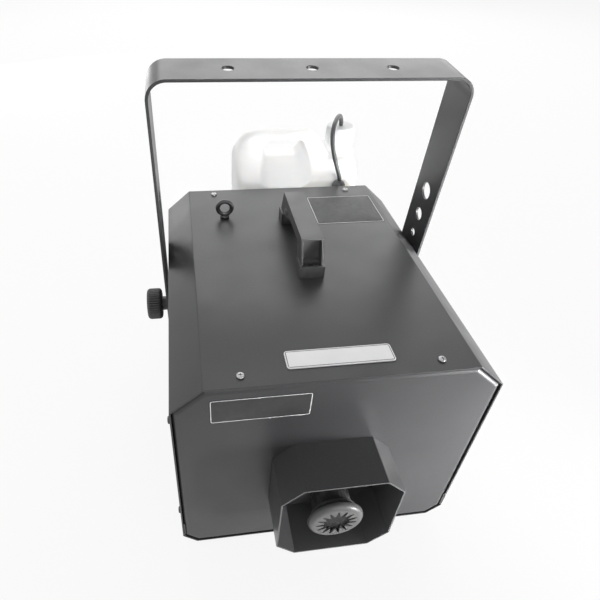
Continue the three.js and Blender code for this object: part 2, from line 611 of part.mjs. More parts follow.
const ELBOW_Y = REAR + ELBOW.fromRear;
const ELBOW_TOP = TOP_Z + ELBOW.aboveTop;
const ELBOW_Z = ELBOW_TOP - ELBOW.rise; // height of the elbow's threaded inlet
addNode('inlet_tube', tubeAlong([
  [ELBOW.x, REAR - ELBOW.thread - GAP, ELBOW_Z],
  [ELBOW.x, REAR - 19, ELBOW_Z],
  [ELBOW.x + 1, REAR - 27, ELBOW_Z - 7],
  [ELBOW.x + 8, REAR - 30, ELBOW_Z - 40],
  [ELBOW.x + 26, REAR - 24, ELBOW_Z - 100],
  [ELBOW.x + 26, REAR - 20, PUMP_Z + 50],
  [PUMP.x + 16, PUMP_SPAN[1] + 13, PUMP_Z + 16],
  [PUMP.x + 2, PUMP_SPAN[1] + 9, PUMP_Z + 2],
  [PUMP.x, PUMP_SPAN[1] + 5, PUMP_Z],
  [PUMP.x, PUMP_SPAN[1] + GAP, PUMP_Z],
], LINE_RADIUS, 8, 20), CLEAR_TUBE);

// ---------------------------------------------------------------- control board

/** Circuit board on four posts against the left wall, with its larger components as blocks. */
function controlBoard() {
  const { width, height, thickness, post } = BOARD;
  const z0 = BASE_Z + BOARD.aboveBase;
  const y0 = BOARD.y - width / 2;
  const wall = -HALF_W + SHEET + GAP;
  const face = wall + post + thickness;
  // each component: its distance along the board, its height on it, its length, height and depth
  const component = (along, up, long, tall, deep) =>
    block([face - thickness / 2, y0 + along, z0 + up], [face + deep, y0 + along + long, z0 + up + tall]);
  const transformer = component(8, 8, 22, 26, 19);
  const relay = component(38, 8, 19, 16, 16);
  const controller = component(38, 32, 24, 12, 5);
  const terminals = component(10, 50, 70, 10, 10);
  const capacitor = rod('x', 6, face - thickness / 2, face + 16, [y0 + 74, z0 + 20], SMALL);
  const posts = [4, width - 4].flatMap((along) =>
    [4, height - 4].map((up) => rod('x', 2.5, wall, face - thickness / 2, [y0 + along, z0 + up], SMALL)));
  const sheet = block([face - thickness, y0, z0], [face, y0 + width, z0 + height]);
  return join(sheet, transformer, relay, controller, terminals, capacitor, ...posts);
}
addNode('control_board', controlBoard(), BOARD_GREEN);

// ---------------------------------------------------------------- rear panel and its controls

const at = (offset, height) => [CONTROLS.fromSide - HALF_W + offset, BASE_Z + height];
const INLET_AT = at(0, CONTROLS.inlet);
const FUSE_AT = at(FUSE.offset, CONTROLS.fuse);
const SOCKET_AT = at(REMOTE_SOCKET.offset, CONTROLS.fuse);
const ROCKER_AT = at(0, CONTROLS.rocker);
const DIAL_AT = at(DIAL.offset, CONTROLS.dial);
const BUTTON_AT = at(BUTTON.offset, CONTROLS.dial);
const FACE = REAR + GAP; // rear face of the rear panel, as the controls see it
const BACK_OF_PANEL = REAR - SHEET - GAP;

/** A control's stem through the rear panel: panel holes are this much larger all round. */
const panelHole = (radius, place) => holeFor('y', radius, REAR, place, MEDIUM);
const panelSlot = (width, height, [x, z]) => block(
  [x - width / 2 - GAP, REAR - PIERCE, z - height / 2 - GAP],
  [x + width / 2 + GAP, REAR + PIERCE, z + height / 2 + GAP]);

addNode('rear_panel', endPanel(1, [
  panelSlot(INLET.recessWidth + 6, INLET.recessHeight + 5, INLET_AT),
  panelHole(FUSE.radius - 1.5, FUSE_AT),
  panelHole(REMOTE_SOCKET.radius - 1, SOCKET_AT),
  panelSlot(ROCKER.width - 2 * ROCKER.bezel, ROCKER.height - 2 * ROCKER.bezel + 2, ROCKER_AT),
  panelHole(DIAL.shaft, DIAL_AT),
  panelHole(BUTTON.radius + 0.8, BUTTON_AT),
  panelHole(ELBOW.threadRadius, [ELBOW.x, ELBOW_Z]),
]), BLACK_COAT);

function mainsInlet() {
  const [x, z] = INLET_AT;
  const bezel = extruded('y', roundedRectangle(INLET.width, INLET.height, 4, x, z), FACE, FACE + INLET.bezel);
  const body = block(
    [x - INLET.recessWidth / 2 - 3, REAR - INLET.body, z - INLET.recessHeight / 2 - 2.5],
    [x + INLET.recessWidth / 2 + 3, FACE + 0.5, z + INLET.recessHeight / 2 + 2.5]);
  const recess = extruded('y', roundedRectangle(INLET.recessWidth, INLET.recessHeight, 3, x, z),
    FACE + INLET.bezel - INLET.recess, FACE + INLET.bezel + 1, 3);
  const floor = FACE + INLET.bezel - INLET.recess;
  const pins = [[-7, -2], [0, 2], [7, -2]].map(([dx, dz]) =>
    block([x + dx - 1, floor - 1, z + dz - 2], [x + dx + 1, floor + 10, z + dz + 2]));
  return join(cut(join(bezel, body), recess), ...pins);
}

function fuseHolder() {
  const [x, z] = FUSE_AT;
  const thread = FUSE.radius - 1.5;
  const body = join(
    rod('y', thread, REAR - FUSE.body, FACE + 1, FUSE_AT),
    rod('y', FUSE.radius + 1, FACE, FACE + 1.6, FUSE_AT),
    rod('y', FUSE.radius + 1, BACK_OF_PANEL - 3, BACK_OF_PANEL, FUSE_AT, 6));
  return cut(body, rod('y', thread - 1.6, REAR - FUSE.body + 2, FACE + 3, [x, z], MEDIUM));
}

/** Bayonet cap with a driver slot, turned about Y. */
function fuseCap() {
  const knob = turned('y', [
    [0, -18], [FUSE.radius - 3.6, -18], [FUSE.radius - 3.6, 0], [FUSE.radius - 0.6, 0],
    [FUSE.radius - 0.6, FUSE.cap - 3], [FUSE.radius - 1.4, FUSE.cap - 2], [0, FUSE.cap - 2],
  ], [0, 0], MEDIUM);
  return cut(knob, block([-5, FUSE.cap - 3.2, -0.7], [5, FUSE.cap, 0.7]));
}

function remoteSocket() {
  const shell = join(
    rod('y', REMOTE_SOCKET.radius - 1, REAR - REMOTE_SOCKET.body, FACE + 1, SOCKET_AT),
    rod('y', REMOTE_SOCKET.radius + 1.5, FACE, FACE + REMOTE_SOCKET.proud, SOCKET_AT));
  const front = FACE + REMOTE_SOCKET.proud;
  const open = cut(shell, rod('y', REMOTE_SOCKET.bore, front - REMOTE_SOCKET.recess, front + 1, SOCKET_AT));
  const pins = [90, 210, 330].map((degrees) => {
    const a = THREE.MathUtils.degToRad(degrees);
    const place = [SOCKET_AT[0] + 3.4 * Math.cos(a), SOCKET_AT[1] + 3.4 * Math.sin(a)];
    return rod('y', 0.9, front - REMOTE_SOCKET.recess - 1, front - 5, place, 8);
  });
  return join(open, ...pins);
}

const ROCKER_PIVOT_Y = FACE - 3;

function switchFrame() {
  const [x, z] = ROCKER_AT;
  const [w, h] = [ROCKER.width / 2, ROCKER.height / 2];
  const bezel = block([x - w, FACE, z - h], [x + w, FACE + ROCKER.frame, z + h]);
  const body = block(
    [x - w + ROCKER.bezel, REAR - ROCKER.body, z - h + ROCKER.bezel - 1],
    [x + w - ROCKER.bezel, FACE + 0.5, z + h - ROCKER.bezel + 1]);
  const well = block(
    [x - w + 2 * ROCKER.bezel - 0.6, ROCKER_PIVOT_Y - 6, z - h + 2.6],
    [x + w - 2 * ROCKER.bezel + 0.6, FACE + ROCKER.frame + 1, z + h - 2.6]);
  return cut(join(bezel, body), well);
}

/** Rocker with two faces that meet over its pivot, which lies along X through the origin. */
function rockerPaddle() {
  const halfX = ROCKER.width / 2 - 2 * ROCKER.bezel + 0.2;
  const reach = ROCKER.height / 2 - 3.6;
  const outline = new THREE.Shape();
  outline.moveTo(-3, -reach + 0.6);
  outline.lineTo(6, -reach);
  outline.lineTo(5.2, 0);
  outline.lineTo(6, reach);
  outline.lineTo(-3, reach - 0.6);
  return extruded('x', outline, -halfX, halfX);
}

function levelDial() {
  const knob = turned('y', [
    [0, 1.5], [DIAL.radius, 1.5], [DIAL.radius - 0.8, DIAL.height - 1.2], [DIAL.radius - 2, DIAL.height],
    [0, DIAL.height],
  ], [0, 0], LARGE);
  const shaft = rod('y', DIAL.shaft, -8, 2, [0, 0], SMALL);
  return cut(join(knob, shaft), block([-0.6, DIAL.height - 1, 1], [0.6, DIAL.height + 1, DIAL.radius]));
}

function levelPot() {
  const body = rod('y', DIAL.body, BACK_OF_PANEL - DIAL.bodyDepth, BACK_OF_PANEL, DIAL_AT);
  return cut(body, rod('y', DIAL.shaft + GAP, BACK_OF_PANEL - DIAL.bodyDepth + 1, REAR, DIAL_AT, SMALL));
}

function buttonBezel() {
  const rim = join(
    rod('y', BUTTON.rim, FACE, FACE + BUTTON.rimProud, BUTTON_AT),
    rod('y', BUTTON.radius + 0.8, REAR - BUTTON.body, FACE + 1, BUTTON_AT));
  return cut(rim, rod('y', BUTTON.radius - 0.4, REAR - BUTTON.body + 2, FACE + 5, BUTTON_AT));
}

const runButton = () => turned('y', [
  [0, -7], [BUTTON.radius - 0.8, -7], [BUTTON.radius - 0.8, BUTTON.proud - 0.9],
  [BUTTON.radius - 1.7, BUTTON.proud], [0, BUTTON.proud],
], [0, 0], 24);

addNode('mains_inlet', mainsInlet(), BLACK_PLASTIC);
addNode('fuse_holder', fuseHolder(), BLACK_PLASTIC);
addNode('fuse_cap', fuseCap(), BLACK_PLASTIC).position.set(FUSE_AT[0], FACE + 2, FUSE_AT[1]);
addNode('remote_socket', remoteSocket(), BLACK_PLASTIC);
addNode('switch_frame', switchFrame(), BLACK_PLASTIC);
const paddle = addNode('switch_rocker', rockerPaddle(), BLACK_PLASTIC);
paddle.position.set(ROCKER_AT[0], ROCKER_PIVOT_Y, ROCKER_AT[1]);
paddle.rotation.x = THREE.MathUtils.degToRad(-ROCKER.tilt);
addNode('level_pot', levelPot(), ZINC);
addNode('level_dial', levelDial(), BLACK_PLASTIC).position.set(DIAL_AT[0], FACE, DIAL_AT[1]);
addNode('button_bezel', buttonBezel(), ZINC);
addNode('run_button', runButton(), RUBBER).position.set(BUTTON_AT[0], FACE, BUTTON_AT[1]);

// ---------------------------------------------------------------- top: plate, handle, lifting eye

addNode('name_plate', extruded(
  'z',
  roundedRectangle(PLATE.width, PLATE.depth, PLATE.corner, 0, PLATE.fromFront + PLATE.depth / 2),
  TOP_Z + GAP, TOP_Z + GAP + PLATE.thickness, 4), WHITE_PLATE);

/** Bridge handle along Y: raked ends on wider feet, a grip bar, a finger gap, open end pockets. */
function carryHandle() {
  const { length, width, height, grip, rake, leg } = HANDLE;
  const half = length / 2;
  const side = polygon([
    [-half, 0], [half, 0], [half, 6], [half - rake, height], [-half + rake, height], [-half, 6],
  ]);
  const body = extruded('x', side, -width / 2, width / 2);
  const feet = [[-half, leg - half], [half - leg, half]].map(([from, to]) => block(
    [-HANDLE_FOOT.width / 2, from, 0], [HANDLE_FOOT.width / 2, to, HANDLE_FOOT.height]));
  const fingers = extruded('x', polygon([
    [leg - half, -1], [half - leg, -1], [half - leg - rake + 6, height - grip],
    [leg - half + rake - 6, height - grip],
  ]), -width, width);
  const pocketOf = (end) => {
    const near = end * (half - HANDLE_POCKET.depth - HANDLE_POCKET.lip);
    const lip = end * (half - HANDLE_POCKET.lip);
    const [y0, y1] = [near, lip].sort((a, b) => a - b);
    const [o0, o1] = [near - end * 6, end * (half + 1)].sort((a, b) => a - b);
    const w = HANDLE_POCKET.width / 2;
    return [
      block([-w, y0, HANDLE_POCKET.seat], [w, y1, HANDLE_FOOT.height + 2]),
      block([-w, o0, HANDLE_FOOT.height], [w, o1, height - HANDLE_POCKET.roof]),
      rod('z', HANDLE_SCREW.shank + GAP, -1, HANDLE_POCKET.seat + 1, [0, end * HANDLE_SCREW_Y], SMALL),
    ];
  };
  return cut(join(body, ...feet), fingers, ...pocketOf(-1), ...pocketOf(1));
}

const handleGroup = new THREE.Group();
handleGroup.position.set(0, HANDLE.centreY, TOP_Z + GAP);
machine.add(handleGroup);
addNode('carry_handle', carryHandle(), BLACK_PLASTIC, handleGroup);
for (const [endName, end] of ENDS) {
  const screw = panHeadScrew(HANDLE_SCREW);
  addNode(`handle_screw_${endName}`, screw, BLACK_STEEL, handleGroup)
    .position.set(0, end * HANDLE_SCREW_Y, HANDLE_POCKET.seat + GAP);
}

/** Lifting eye: a ring on a collar with its thread below; the ring faces the front. */
function liftingEye() {
  const mean = EYE.ringOuter - EYE.ringBar;
  const ringZ = EYE.collarHeight + mean + EYE.ringBar * 0.6;
  const ring = new THREE.TorusGeometry(mean, EYE.ringBar, 8, 22).rotateX(Math.PI / 2).translate(0, 0, ringZ);
  const collar = turned('z', [
    [0, -9], [EYE.thread, -9], [EYE.thread, 0], [EYE.collar, 0], [EYE.collar, EYE.collarHeight - 1],
    [EYE.collar - 1.6, EYE.collarHeight + 1], [0, EYE.collarHeight + 1],
  ], [0, 0], MEDIUM);
  return join(solid(ring), collar);
}
addNode('lifting_eye', liftingEye(), BLACK_STEEL).position.set(EYE.x, EYE.y, TOP_Z + GAP);

/** Six-sided nut about Z with a clear bore. */
const hexNut = (radius, height, bore) => cut(
  rod('z', radius, 0, height, [0, 0], 6), rod('z', bore, -1, height + 1, [0, 0], MEDIUM));
addNode('lifting_eye_nut', hexNut(EYE_NUT.radius, EYE_NUT.height, EYE.thread + GAP), ZINC)
  .position.set(EYE.x, EYE.y, TOP_Z - SHEET - GAP - EYE_NUT.height);

// ---------------------------------------------------------------- yoke, knobs and pivots

/** Flat-bar yoke: pivot holes at its origin, top bar above, drilled for a clamp and lightened. */
function yoke() {
  const { bar, width, legLength, corner } = YOKE;
  const outer = YOKE_OUTER;
  const end = width / 2;
  const profile = new THREE.Shape();
  const outline = (half, top, radius) => {
    profile.lineTo(half, top - radius);
    profile.absarc(half - radius, top - radius, radius, 0, Math.PI / 2);
    profile.lineTo(-half + radius, top);
    profile.absarc(-half + radius, top - radius, radius, Math.PI / 2, Math.PI);
    profile.lineTo(-half, -end);
  };
  profile.moveTo(outer, -end);
  outline(outer, legLength, corner);
  profile.lineTo(-YOKE_INNER, -end);
  profile.lineTo(-YOKE_INNER, legLength - corner);
  profile.absarc(-YOKE_INNER + corner - bar, legLength - corner, corner - bar, Math.PI, Math.PI / 2, true);
  profile.lineTo(YOKE_INNER - corner + bar, legLength - bar);
  profile.absarc(YOKE_INNER - corner + bar, legLength - corner, corner - bar, Math.PI / 2, 0, true);
  profile.lineTo(YOKE_INNER, -end);
  const strip = extruded('y', profile, -end, end, 5);

  const sideView = new THREE.Shape();
  sideView.moveTo(end, 0);
  sideView.lineTo(end, legLength + 1);
  sideView.lineTo(-end, legLength + 1);
  sideView.lineTo(-end, 0);
  sideView.absarc(0, 0, end, Math.PI, 2 * Math.PI);
  const rounded = strip.intersect(extruded('x', sideView, -outer - 1, outer + 1, 8));

  const topHoles = [-1, 0, 1].map((i) =>
    rod('z', YOKE_TOP_HOLE.radius, legLength - 9, legLength + 9, [i * YOKE_TOP_HOLE.pitch, 0], MEDIUM));
  const legHoles = YOKE_LEG_HOLES.map(({ fromTop, radius }) =>
    rod('x', radius, -outer - 1, outer + 1, [0, legLength - fromTop], MEDIUM));
  const pivotHoles = rod('x', STUD.radius + GAP, -outer - 1, outer + 1, [0, 0], SMALL);
  return cut(rounded, ...topHoles, ...legHoles, pivotHoles);
}

const yokeNode = addNode('yoke', yoke(), BLACK_COAT);
yokeNode.position.set(0, PIVOT.y, PIVOT_Z);
yokeNode.rotation.x = THREE.MathUtils.degToRad(YOKE.leanDegrees);

/** Round outline with alternating ridges and grooves. */
const ribbedCircle = (ribs, crest, groove) => polygon(Array.from({ length: ribs * 2 }, (_, i) => {
  const a = (i / (ribs * 2)) * 2 * Math.PI;
  const r = i % 2 ? groove : crest;
  return [r * Math.cos(a), r * Math.sin(a)];
}));

/** Hand knob about +X: stud through the yoke leg, collar, ribbed grip with bevelled rims. */
function handKnob() {
  const { radius, thickness, bevel, ribs, ribDepth } = KNOB;
  const seat = YOKE_OUTER + GAP;
  const near = seat + KNOB_COLLAR.length;
  const far = near + thickness;
  const groove = radius - ribDepth;
  return join(
    extruded('x', ribbedCircle(ribs, radius, groove), near + bevel, far - bevel),
    rod('x', groove - bevel, near, near + bevel + 0.1, [0, 0], ribs, groove),
    rod('x', groove, far - bevel - 0.1, far, [0, 0], ribs, groove - bevel),
    rod('x', KNOB_COLLAR.radius, seat, near + 1, [0, 0], MEDIUM),
    rod('x', STUD.radius, HALF_W - SHEET - STUD.reachInside, near + 1, [0, 0], SMALL));
}

for (const [sideName, side] of SIDES) {
  const turn = side < 0 ? Math.PI : 0; // the left-hand pieces are the right-hand ones turned about Z
  const pivot = new THREE.Group();
  pivot.position.set(0, PIVOT.y, PIVOT_Z);
  pivot.rotation.z = turn;
  machine.add(pivot);
  addNode(`knob_${sideName}`, handKnob(), BLACK_PLASTIC, pivot);
  const washer = cut(
    rod('x', WASHER.radius, HALF_W + GAP, YOKE_INNER - GAP, [0, 0], LARGE),
    rod('x', STUD.radius + GAP, HALF_W - 1, YOKE_INNER + 1, [0, 0], MEDIUM));
  addNode(`pivot_washer_${sideName}`, washer, RUBBER, pivot);
  const nutFace = HALF_W - SHEET - GAP;
  const nut = cut(
    rod('x', PIVOT_NUT.radius, nutFace - PIVOT_NUT.thickness, nutFace, [0, 0], 6),
    rod('x', STUD.radius + GAP, nutFace - 10, nutFace + 1, [0, 0], MEDIUM));
  addNode(`pivot_nut_${sideName}`, nut, ZINC, pivot);
}

// ---------------------------------------------------------------- fluid can, cap, tray and hose

/** Front view of the can: a square body, a raised handle over its left half, a neck on its right. */
function canFrontView(shrink) {
  const left = CAN.centreX - CAN.width / 2 + shrink;
  const right = CAN.centreX + CAN.width / 2 - shrink;
  const floor = CAN_FLOOR + shrink;
  const heel = CAN_FLOOR + CAN.heel;
  const shoulder = BASE_Z + CAN.bodyTop - shrink;
  const crown = BASE_Z + CAN.handleTop - shrink;
  return polygon([
    [left + CAN.heel, floor], [right - CAN.heel, floor], [right, heel], [right, shoulder - 5],
    [right - 4, shoulder], [CAN_NECK.x - CAP_RADIUS + GAP, shoulder + 2],
    [CAN_GRIP.right + 16 - shrink, crown],
    [CAN_GRIP.left + shrink, crown], [CAN_GRIP.left - 14 + shrink, crown - 5], [left + 3, shoulder + 3],
    [left, shoulder - 5], [left, heel],
  ]);
}

/** Upright block with the can's rounded corners in plan. */
const canPlan = (shrink) => roundedRectangle(
  CAN.width - 2 * shrink, CAN.depth - 2 * shrink, CAN.corner - shrink, CAN.centreX, CAN_MID);

/** Side view of the can: front and rear slope in from the eaves to the narrow ridge of the handle. */
function canSideView(shrink) {
  const [front, rear] = [CAN_FRONT + shrink, CAN_REAR - shrink];
  const ridge = CAN_GRIP.width / 2 - shrink;
  const eaves = BASE_Z + CAN.eaves - shrink;
  const roof = BASE_Z + CAN.roof - shrink;
  const above = BASE_Z + CAN.handleTop + 1;
  return polygon([
    [front, 0], [rear, 0], [rear, eaves - 6], [rear - 5, eaves], [CAN_MID + ridge + 3, roof],
    [CAN_MID + ridge, roof + 5], [CAN_MID + ridge, above], [CAN_MID - ridge, above],
    [CAN_MID - ridge, roof + 5], [CAN_MID - ridge - 3, roof], [front + 5, eaves], [front, eaves - 6],
  ]);
}

function canShape(shrink) {
  return extruded('y', canFrontView(shrink), CAN_FRONT - 1, CAN_REAR + 1)
    .intersect(extruded('z', canPlan(shrink), 0, 2 * TOP_Z, 4))
    .intersect(extruded('x', canSideView(shrink), -CABINET.width, CABINET.width));
}

/** Finger gap through the can's handle, front to back, grown by the wall when used as a core. */
function canFingerGap(grow) {
  const [x0, x1] = [CAN_GRIP.left - grow, CAN_GRIP.right + grow];
  const [z0, z1] = [BASE_Z + CAN_GRIP.low - grow, BASE_Z + CAN_GRIP.high + grow];
  return extruded('y', polygon([
    [x0, z0], [x1 - 9, z0], [x1, z0 + 10], [x1, z1 - 4], [x1 - 4, z1], [x0 + 6, z1], [x0, z1 - 6],
  ]), CAN_FRONT - 1, CAN_REAR + 1);
}

function fluidCan() {
  const neckPlace = [CAN_NECK.x, CAN_MID];
  const neckBottom = BASE_Z + CAN.bodyTop - 30;
  const mouth = BASE_Z + CAN_NECK.mouth;
  const outside = join(
    cut(canShape(0), canFingerGap(0)),
    rod('z', CAN_NECK.radius, neckBottom, mouth, neckPlace));
  const inside = join(
    cut(canShape(CAN.wall), canFingerGap(CAN.wall)),
    rod('z', CAN_NECK.radius - CAN.wall, neckBottom, mouth + 1, neckPlace));
  return cut(outside, inside);
}

/** Screw cap about Z with grip ribs, a skirt round the neck and a hole for the pick-up tube. */
function canCap() {
  const { bottom, top, ribs, ribDepth, crown } = CAN_CAP;
  const radius = CAP_RADIUS;
  const height = top - bottom;
  return cut(
    join(
      extruded('z', ribbedCircle(ribs, radius, radius - ribDepth), 0, height - crown),
      rod('z', radius - ribDepth, height - crown - 0.1, height, [0, 0], ribs, radius - ribDepth - crown)),
    rod('z', CAN_NECK.radius + 2 * GAP, -1, CAN_NECK.mouth - bottom + GAP, [0, 0], MEDIUM),
    rod('z', HOSE.radius + GAP, 0, height + 1, [0, 0], SMALL));
}

function canTray() {
  const half = CAN.width / 2 + TRAY.clearance;
  const [x0, x1] = [CAN.centreX - half, CAN.centreX + half];
  const [y0, y1] = [REAR + GAP, TRAY_REAR];
  const floor = TRAY.floorAboveGround;
  const outside = block([x0 - SHEET, y0, floor - SHEET], [x1 + SHEET, y1, floor + TRAY.rim]);
  const inside = block([x0, y0 + SHEET, floor], [x1, y1 - SHEET, floor + TRAY.rim + 1]);
  const backPlate = block([x0 - SHEET, y0, floor - SHEET], [x1 + SHEET, y0 + SHEET, floor + 2 * TRAY.rim]);
  return join(cut(outside, inside), backPlate);
}

/** Elbow fitting: threaded stem through the rear panel, domed body and a collar facing up. */
function elbowFitting() {
  const stem = join(
    rod('y', ELBOW.threadRadius, REAR - ELBOW.thread, ELBOW_Y, [ELBOW.x, ELBOW_Z], MEDIUM),
    rod('y', ELBOW.domeRadius, FACE, FACE + 4, [ELBOW.x, ELBOW_Z], 6));
  const top = ELBOW_TOP;
  const upright = turned('z', [
    [0, ELBOW_Z - 7], [ELBOW.collarRadius - 2, ELBOW_Z - 7], [ELBOW.collarRadius, ELBOW_Z - 4],
    [ELBOW.domeRadius, ELBOW_Z + 4], [ELBOW.domeRadius, top - 6], [ELBOW.collarRadius, top - 2],
    [HOSE.radius + 1.6, top], [0, top],
  ], [ELBOW.x, ELBOW_Y], MEDIUM);
  return join(stem, upright);
}

// Centre line of the suction hose: up out of the elbow, over in one arch, and down to the cap.
const HOSE_ROUTE = [
  [88, 351, 268.3],
  [87.6, 351, 272.5],
  [84.8, 351, 280.5],
  [80.8, 351, 291],
  [76.8, 351, 302],
  [73.6, 351.4, 313],
  [71.8, 353, 322],
  [71.6, 356.6, 329.8],
  [73, 362, 335.8],
  [75.8, 369, 339.9],
  [79.4, 377, 342],
  [83.5, 385.6, 342.8],
  [87.8, 394, 342.4],
  [92, 402, 340.6],
  [95.8, 409.4, 337],
  [99.2, 416, 331.4],
  [102, 421.6, 324],
  [102.9, 423.8, 320.4],
];

addNode('can_tray', canTray(), BLACK_COAT);
addNode('fluid_can', fluidCan(), NATURAL_POLYTHENE);
addNode('can_cap', canCap(), NATURAL_POLYTHENE).position.set(CAN_NECK.x, CAN_MID, BASE_Z + CAN_CAP.bottom);
addNode('hose_elbow', elbowFitting(), BLACK_PLASTIC);
addNode('suction_hose', tubeAlong(HOSE_ROUTE, HOSE.radius, HOSE.sides, HOSE.steps), RUBBER);

const PICKUP_TOP = BASE_Z + CAN_CAP.top - GAP;
const PICKUP_LOW = CAN_FLOOR + CAN.wall + 3 + PICKUP_FILTER.height;
const pickupTube = rod('z', HOSE.radius, PICKUP_LOW + GAP, PICKUP_TOP, [CAN_NECK.x, CAN_MID], SMALL);
addNode('pickup_tube', pickupTube, CLEAR_TUBE);
addNode('pickup_filter', turned('z', [
  [0, 0], [PICKUP_FILTER.radius, 0], [PICKUP_FILTER.radius, PICKUP_FILTER.height - 3],
  [HOSE.radius, PICKUP_FILTER.height], [0, PICKUP_FILTER.height],
], [0, 0], 16), BLACK_PLASTIC).position.set(CAN_NECK.x, CAN_MID, CAN_FLOOR + CAN.wall + 3);

export default machine;
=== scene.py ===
# %% [markdown]
# # A foam-snow machine on its yoke
# The machine is a bevelled steel cabinet with an eight-sided outlet duct, a flat-bar yoke on two hand
# knobs, a strap handle and a lifting eye on top, and a jug of fluid on a tray behind it. The packed
# model gives every piece its place, so each step below reads a box from it and builds inside that box.

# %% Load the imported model
import json
import bmesh
import bpy
import numpy as np
from math import cos, pi, radians, sin
from mathutils import Matrix, Vector


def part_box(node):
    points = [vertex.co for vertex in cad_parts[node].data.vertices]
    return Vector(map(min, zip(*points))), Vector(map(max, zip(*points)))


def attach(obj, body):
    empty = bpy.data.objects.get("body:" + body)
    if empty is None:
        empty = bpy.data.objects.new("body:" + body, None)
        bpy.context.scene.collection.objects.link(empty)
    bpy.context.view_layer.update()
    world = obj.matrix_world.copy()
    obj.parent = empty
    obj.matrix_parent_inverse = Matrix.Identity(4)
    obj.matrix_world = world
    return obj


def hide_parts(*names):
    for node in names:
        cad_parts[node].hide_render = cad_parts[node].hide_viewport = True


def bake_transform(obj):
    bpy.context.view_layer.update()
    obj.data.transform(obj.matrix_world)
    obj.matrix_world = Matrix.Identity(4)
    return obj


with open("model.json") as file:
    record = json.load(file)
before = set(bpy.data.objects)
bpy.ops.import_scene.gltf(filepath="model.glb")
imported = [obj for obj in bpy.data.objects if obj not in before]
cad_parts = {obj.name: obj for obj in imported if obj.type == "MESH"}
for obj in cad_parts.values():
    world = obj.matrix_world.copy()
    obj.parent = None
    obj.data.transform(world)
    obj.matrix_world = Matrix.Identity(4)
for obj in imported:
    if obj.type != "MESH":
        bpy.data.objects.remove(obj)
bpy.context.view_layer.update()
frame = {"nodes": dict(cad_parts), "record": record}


def new_object(name, data):
    """Object in the scene for a mesh, a lamp or a camera."""
    made = bpy.data.objects.new(name, data)
    bpy.context.collection.objects.link(made)
    return made

# %% [markdown]
# The camera looks down on the front left corner of the cabinet. A camera matrix is built from the
# direction it looks in and the direction of its right-hand side, turned by a small roll. The lens is
# shifted a little because the machine does not sit in the middle of the frame.

# %% Camera
def add_camera(place, yaw, pitch, roll, lens, shift):
    """Camera at a place: yaw turns it about the vertical, pitch tips it down, roll turns the picture."""
    ahead = Vector((-sin(yaw) * cos(pitch), cos(yaw) * cos(pitch), -sin(pitch)))
    level = Vector((cos(yaw), sin(yaw), 0))
    upright = level.cross(ahead)
    side = cos(roll) * level + sin(roll) * upright
    data = bpy.data.cameras.new("camera")
    data.sensor_width = 36
    data.lens = lens
    data.shift_x, data.shift_y = shift
    data.clip_start, data.clip_end = 0.01, 50
    camera = new_object("camera", data)
    axes = Matrix((side, side.cross(ahead), -ahead)).transposed()
    camera.matrix_world = Matrix.Translation(place) @ axes.to_4x4()
    return camera


camera = add_camera(place=(-0.1245, -0.4854, 0.5887), yaw=-0.164, pitch=0.672, roll=0.044,
                    lens=30.14, shift=(0.0723, -0.0275))
bpy.context.scene.camera = camera
print("camera", [round(v, 3) for v in camera.location], "lens", round(camera.data.lens, 2))

# %% [markdown]
# Every new piece is a surface: a grid of points worked out in one go, with quads between neighbours.
# One helper joins the grids of a piece, closes the seams and turns the faces outwards.

# %% Grids
def surface(points, around=False, keep=None):
    """Quads over a rows x columns grid of points; around joins the last column to the first."""
    rows, columns = points.shape[:2]
    i, j = np.meshgrid(np.arange(rows - 1), np.arange(columns - (not around)), indexing="ij")
    row, next_row, right = i * columns, (i + 1) * columns, (j + 1) % columns
    quads = np.stack([row + j, row + right, next_row + right, next_row + j], -1)
    quads = quads if keep is None else quads[keep]
    return points.reshape(-1, 3), quads.reshape(-1, 4)


def make_mesh(name, surfaces):
    """Joins surfaces into one mesh, merges the points that meet and points the faces outwards."""
    offsets = np.cumsum([0] + [len(points) for points, _ in surfaces])
    points = np.concatenate([points for points, _ in surfaces])
    quads = np.concatenate([quads + start for (_, quads), start in zip(surfaces, offsets)])
    mesh = bpy.data.meshes.new(name)
    mesh.from_pydata(points.tolist(), [], quads.tolist())
    work = bmesh.new()
    work.from_mesh(mesh)
    bmesh.ops.remove_doubles(work, verts=work.verts, dist=2e-6)
    bmesh.ops.dissolve_degenerate(work, dist=1e-7, edges=work.edges)
    bmesh.ops.recalc_face_normals(work, faces=work.faces)
    work.to_mesh(mesh)
    work.free()
    return mesh

# %% [markdown]
# A finished piece is such a mesh with a finish, on the body that carries it. Rounded edges and sheet
# thickness come from modifiers, so the grids themselves stay simple.

# %% Pieces
def piece(name, surfaces, material, body="cabinet", stands_for=(), wall=0, bevel=0, edge=35,
          rim=(), inside=()):
    """A finished piece: its mesh, sheet thickness, rounded edges, material, and the body it rides on.
    Edges sharper than edge degrees stay hard; rim and inside are finishes for those sides of a sheet."""
    mesh = make_mesh(name, surfaces) if isinstance(surfaces, list) else surfaces
    for each in [material, *rim, *inside]:
        mesh.materials.append(each)
    mesh.shade_smooth()
    mesh.set_sharp_from_angle(angle=radians(edge))
    made = new_object(name, mesh)
    if wall:
        sheet = made.modifiers.new("sheet", "SOLIDIFY")
        sheet.thickness, sheet.offset, sheet.use_even_offset = wall, -1, True
        sheet.material_offset_rim, sheet.material_offset = len(rim), 2 * len(inside)
    if bevel:
        rounding = made.modifiers.new("rounding", "BEVEL")
        rounding.width, rounding.segments, rounding.angle_limit = bevel, 3, radians(edge)
        rounding.limit_method, rounding.harden_normals = "ANGLE", True
        rounding.use_clamp_overlap = True
    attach(made, body)
    if stands_for:
        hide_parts(*stands_for)
    size = np.round(np.array(made.dimensions) * 1000, 1).tolist()
    print(f"{name}: {len(mesh.polygons)} faces, {size} mm")
    return made

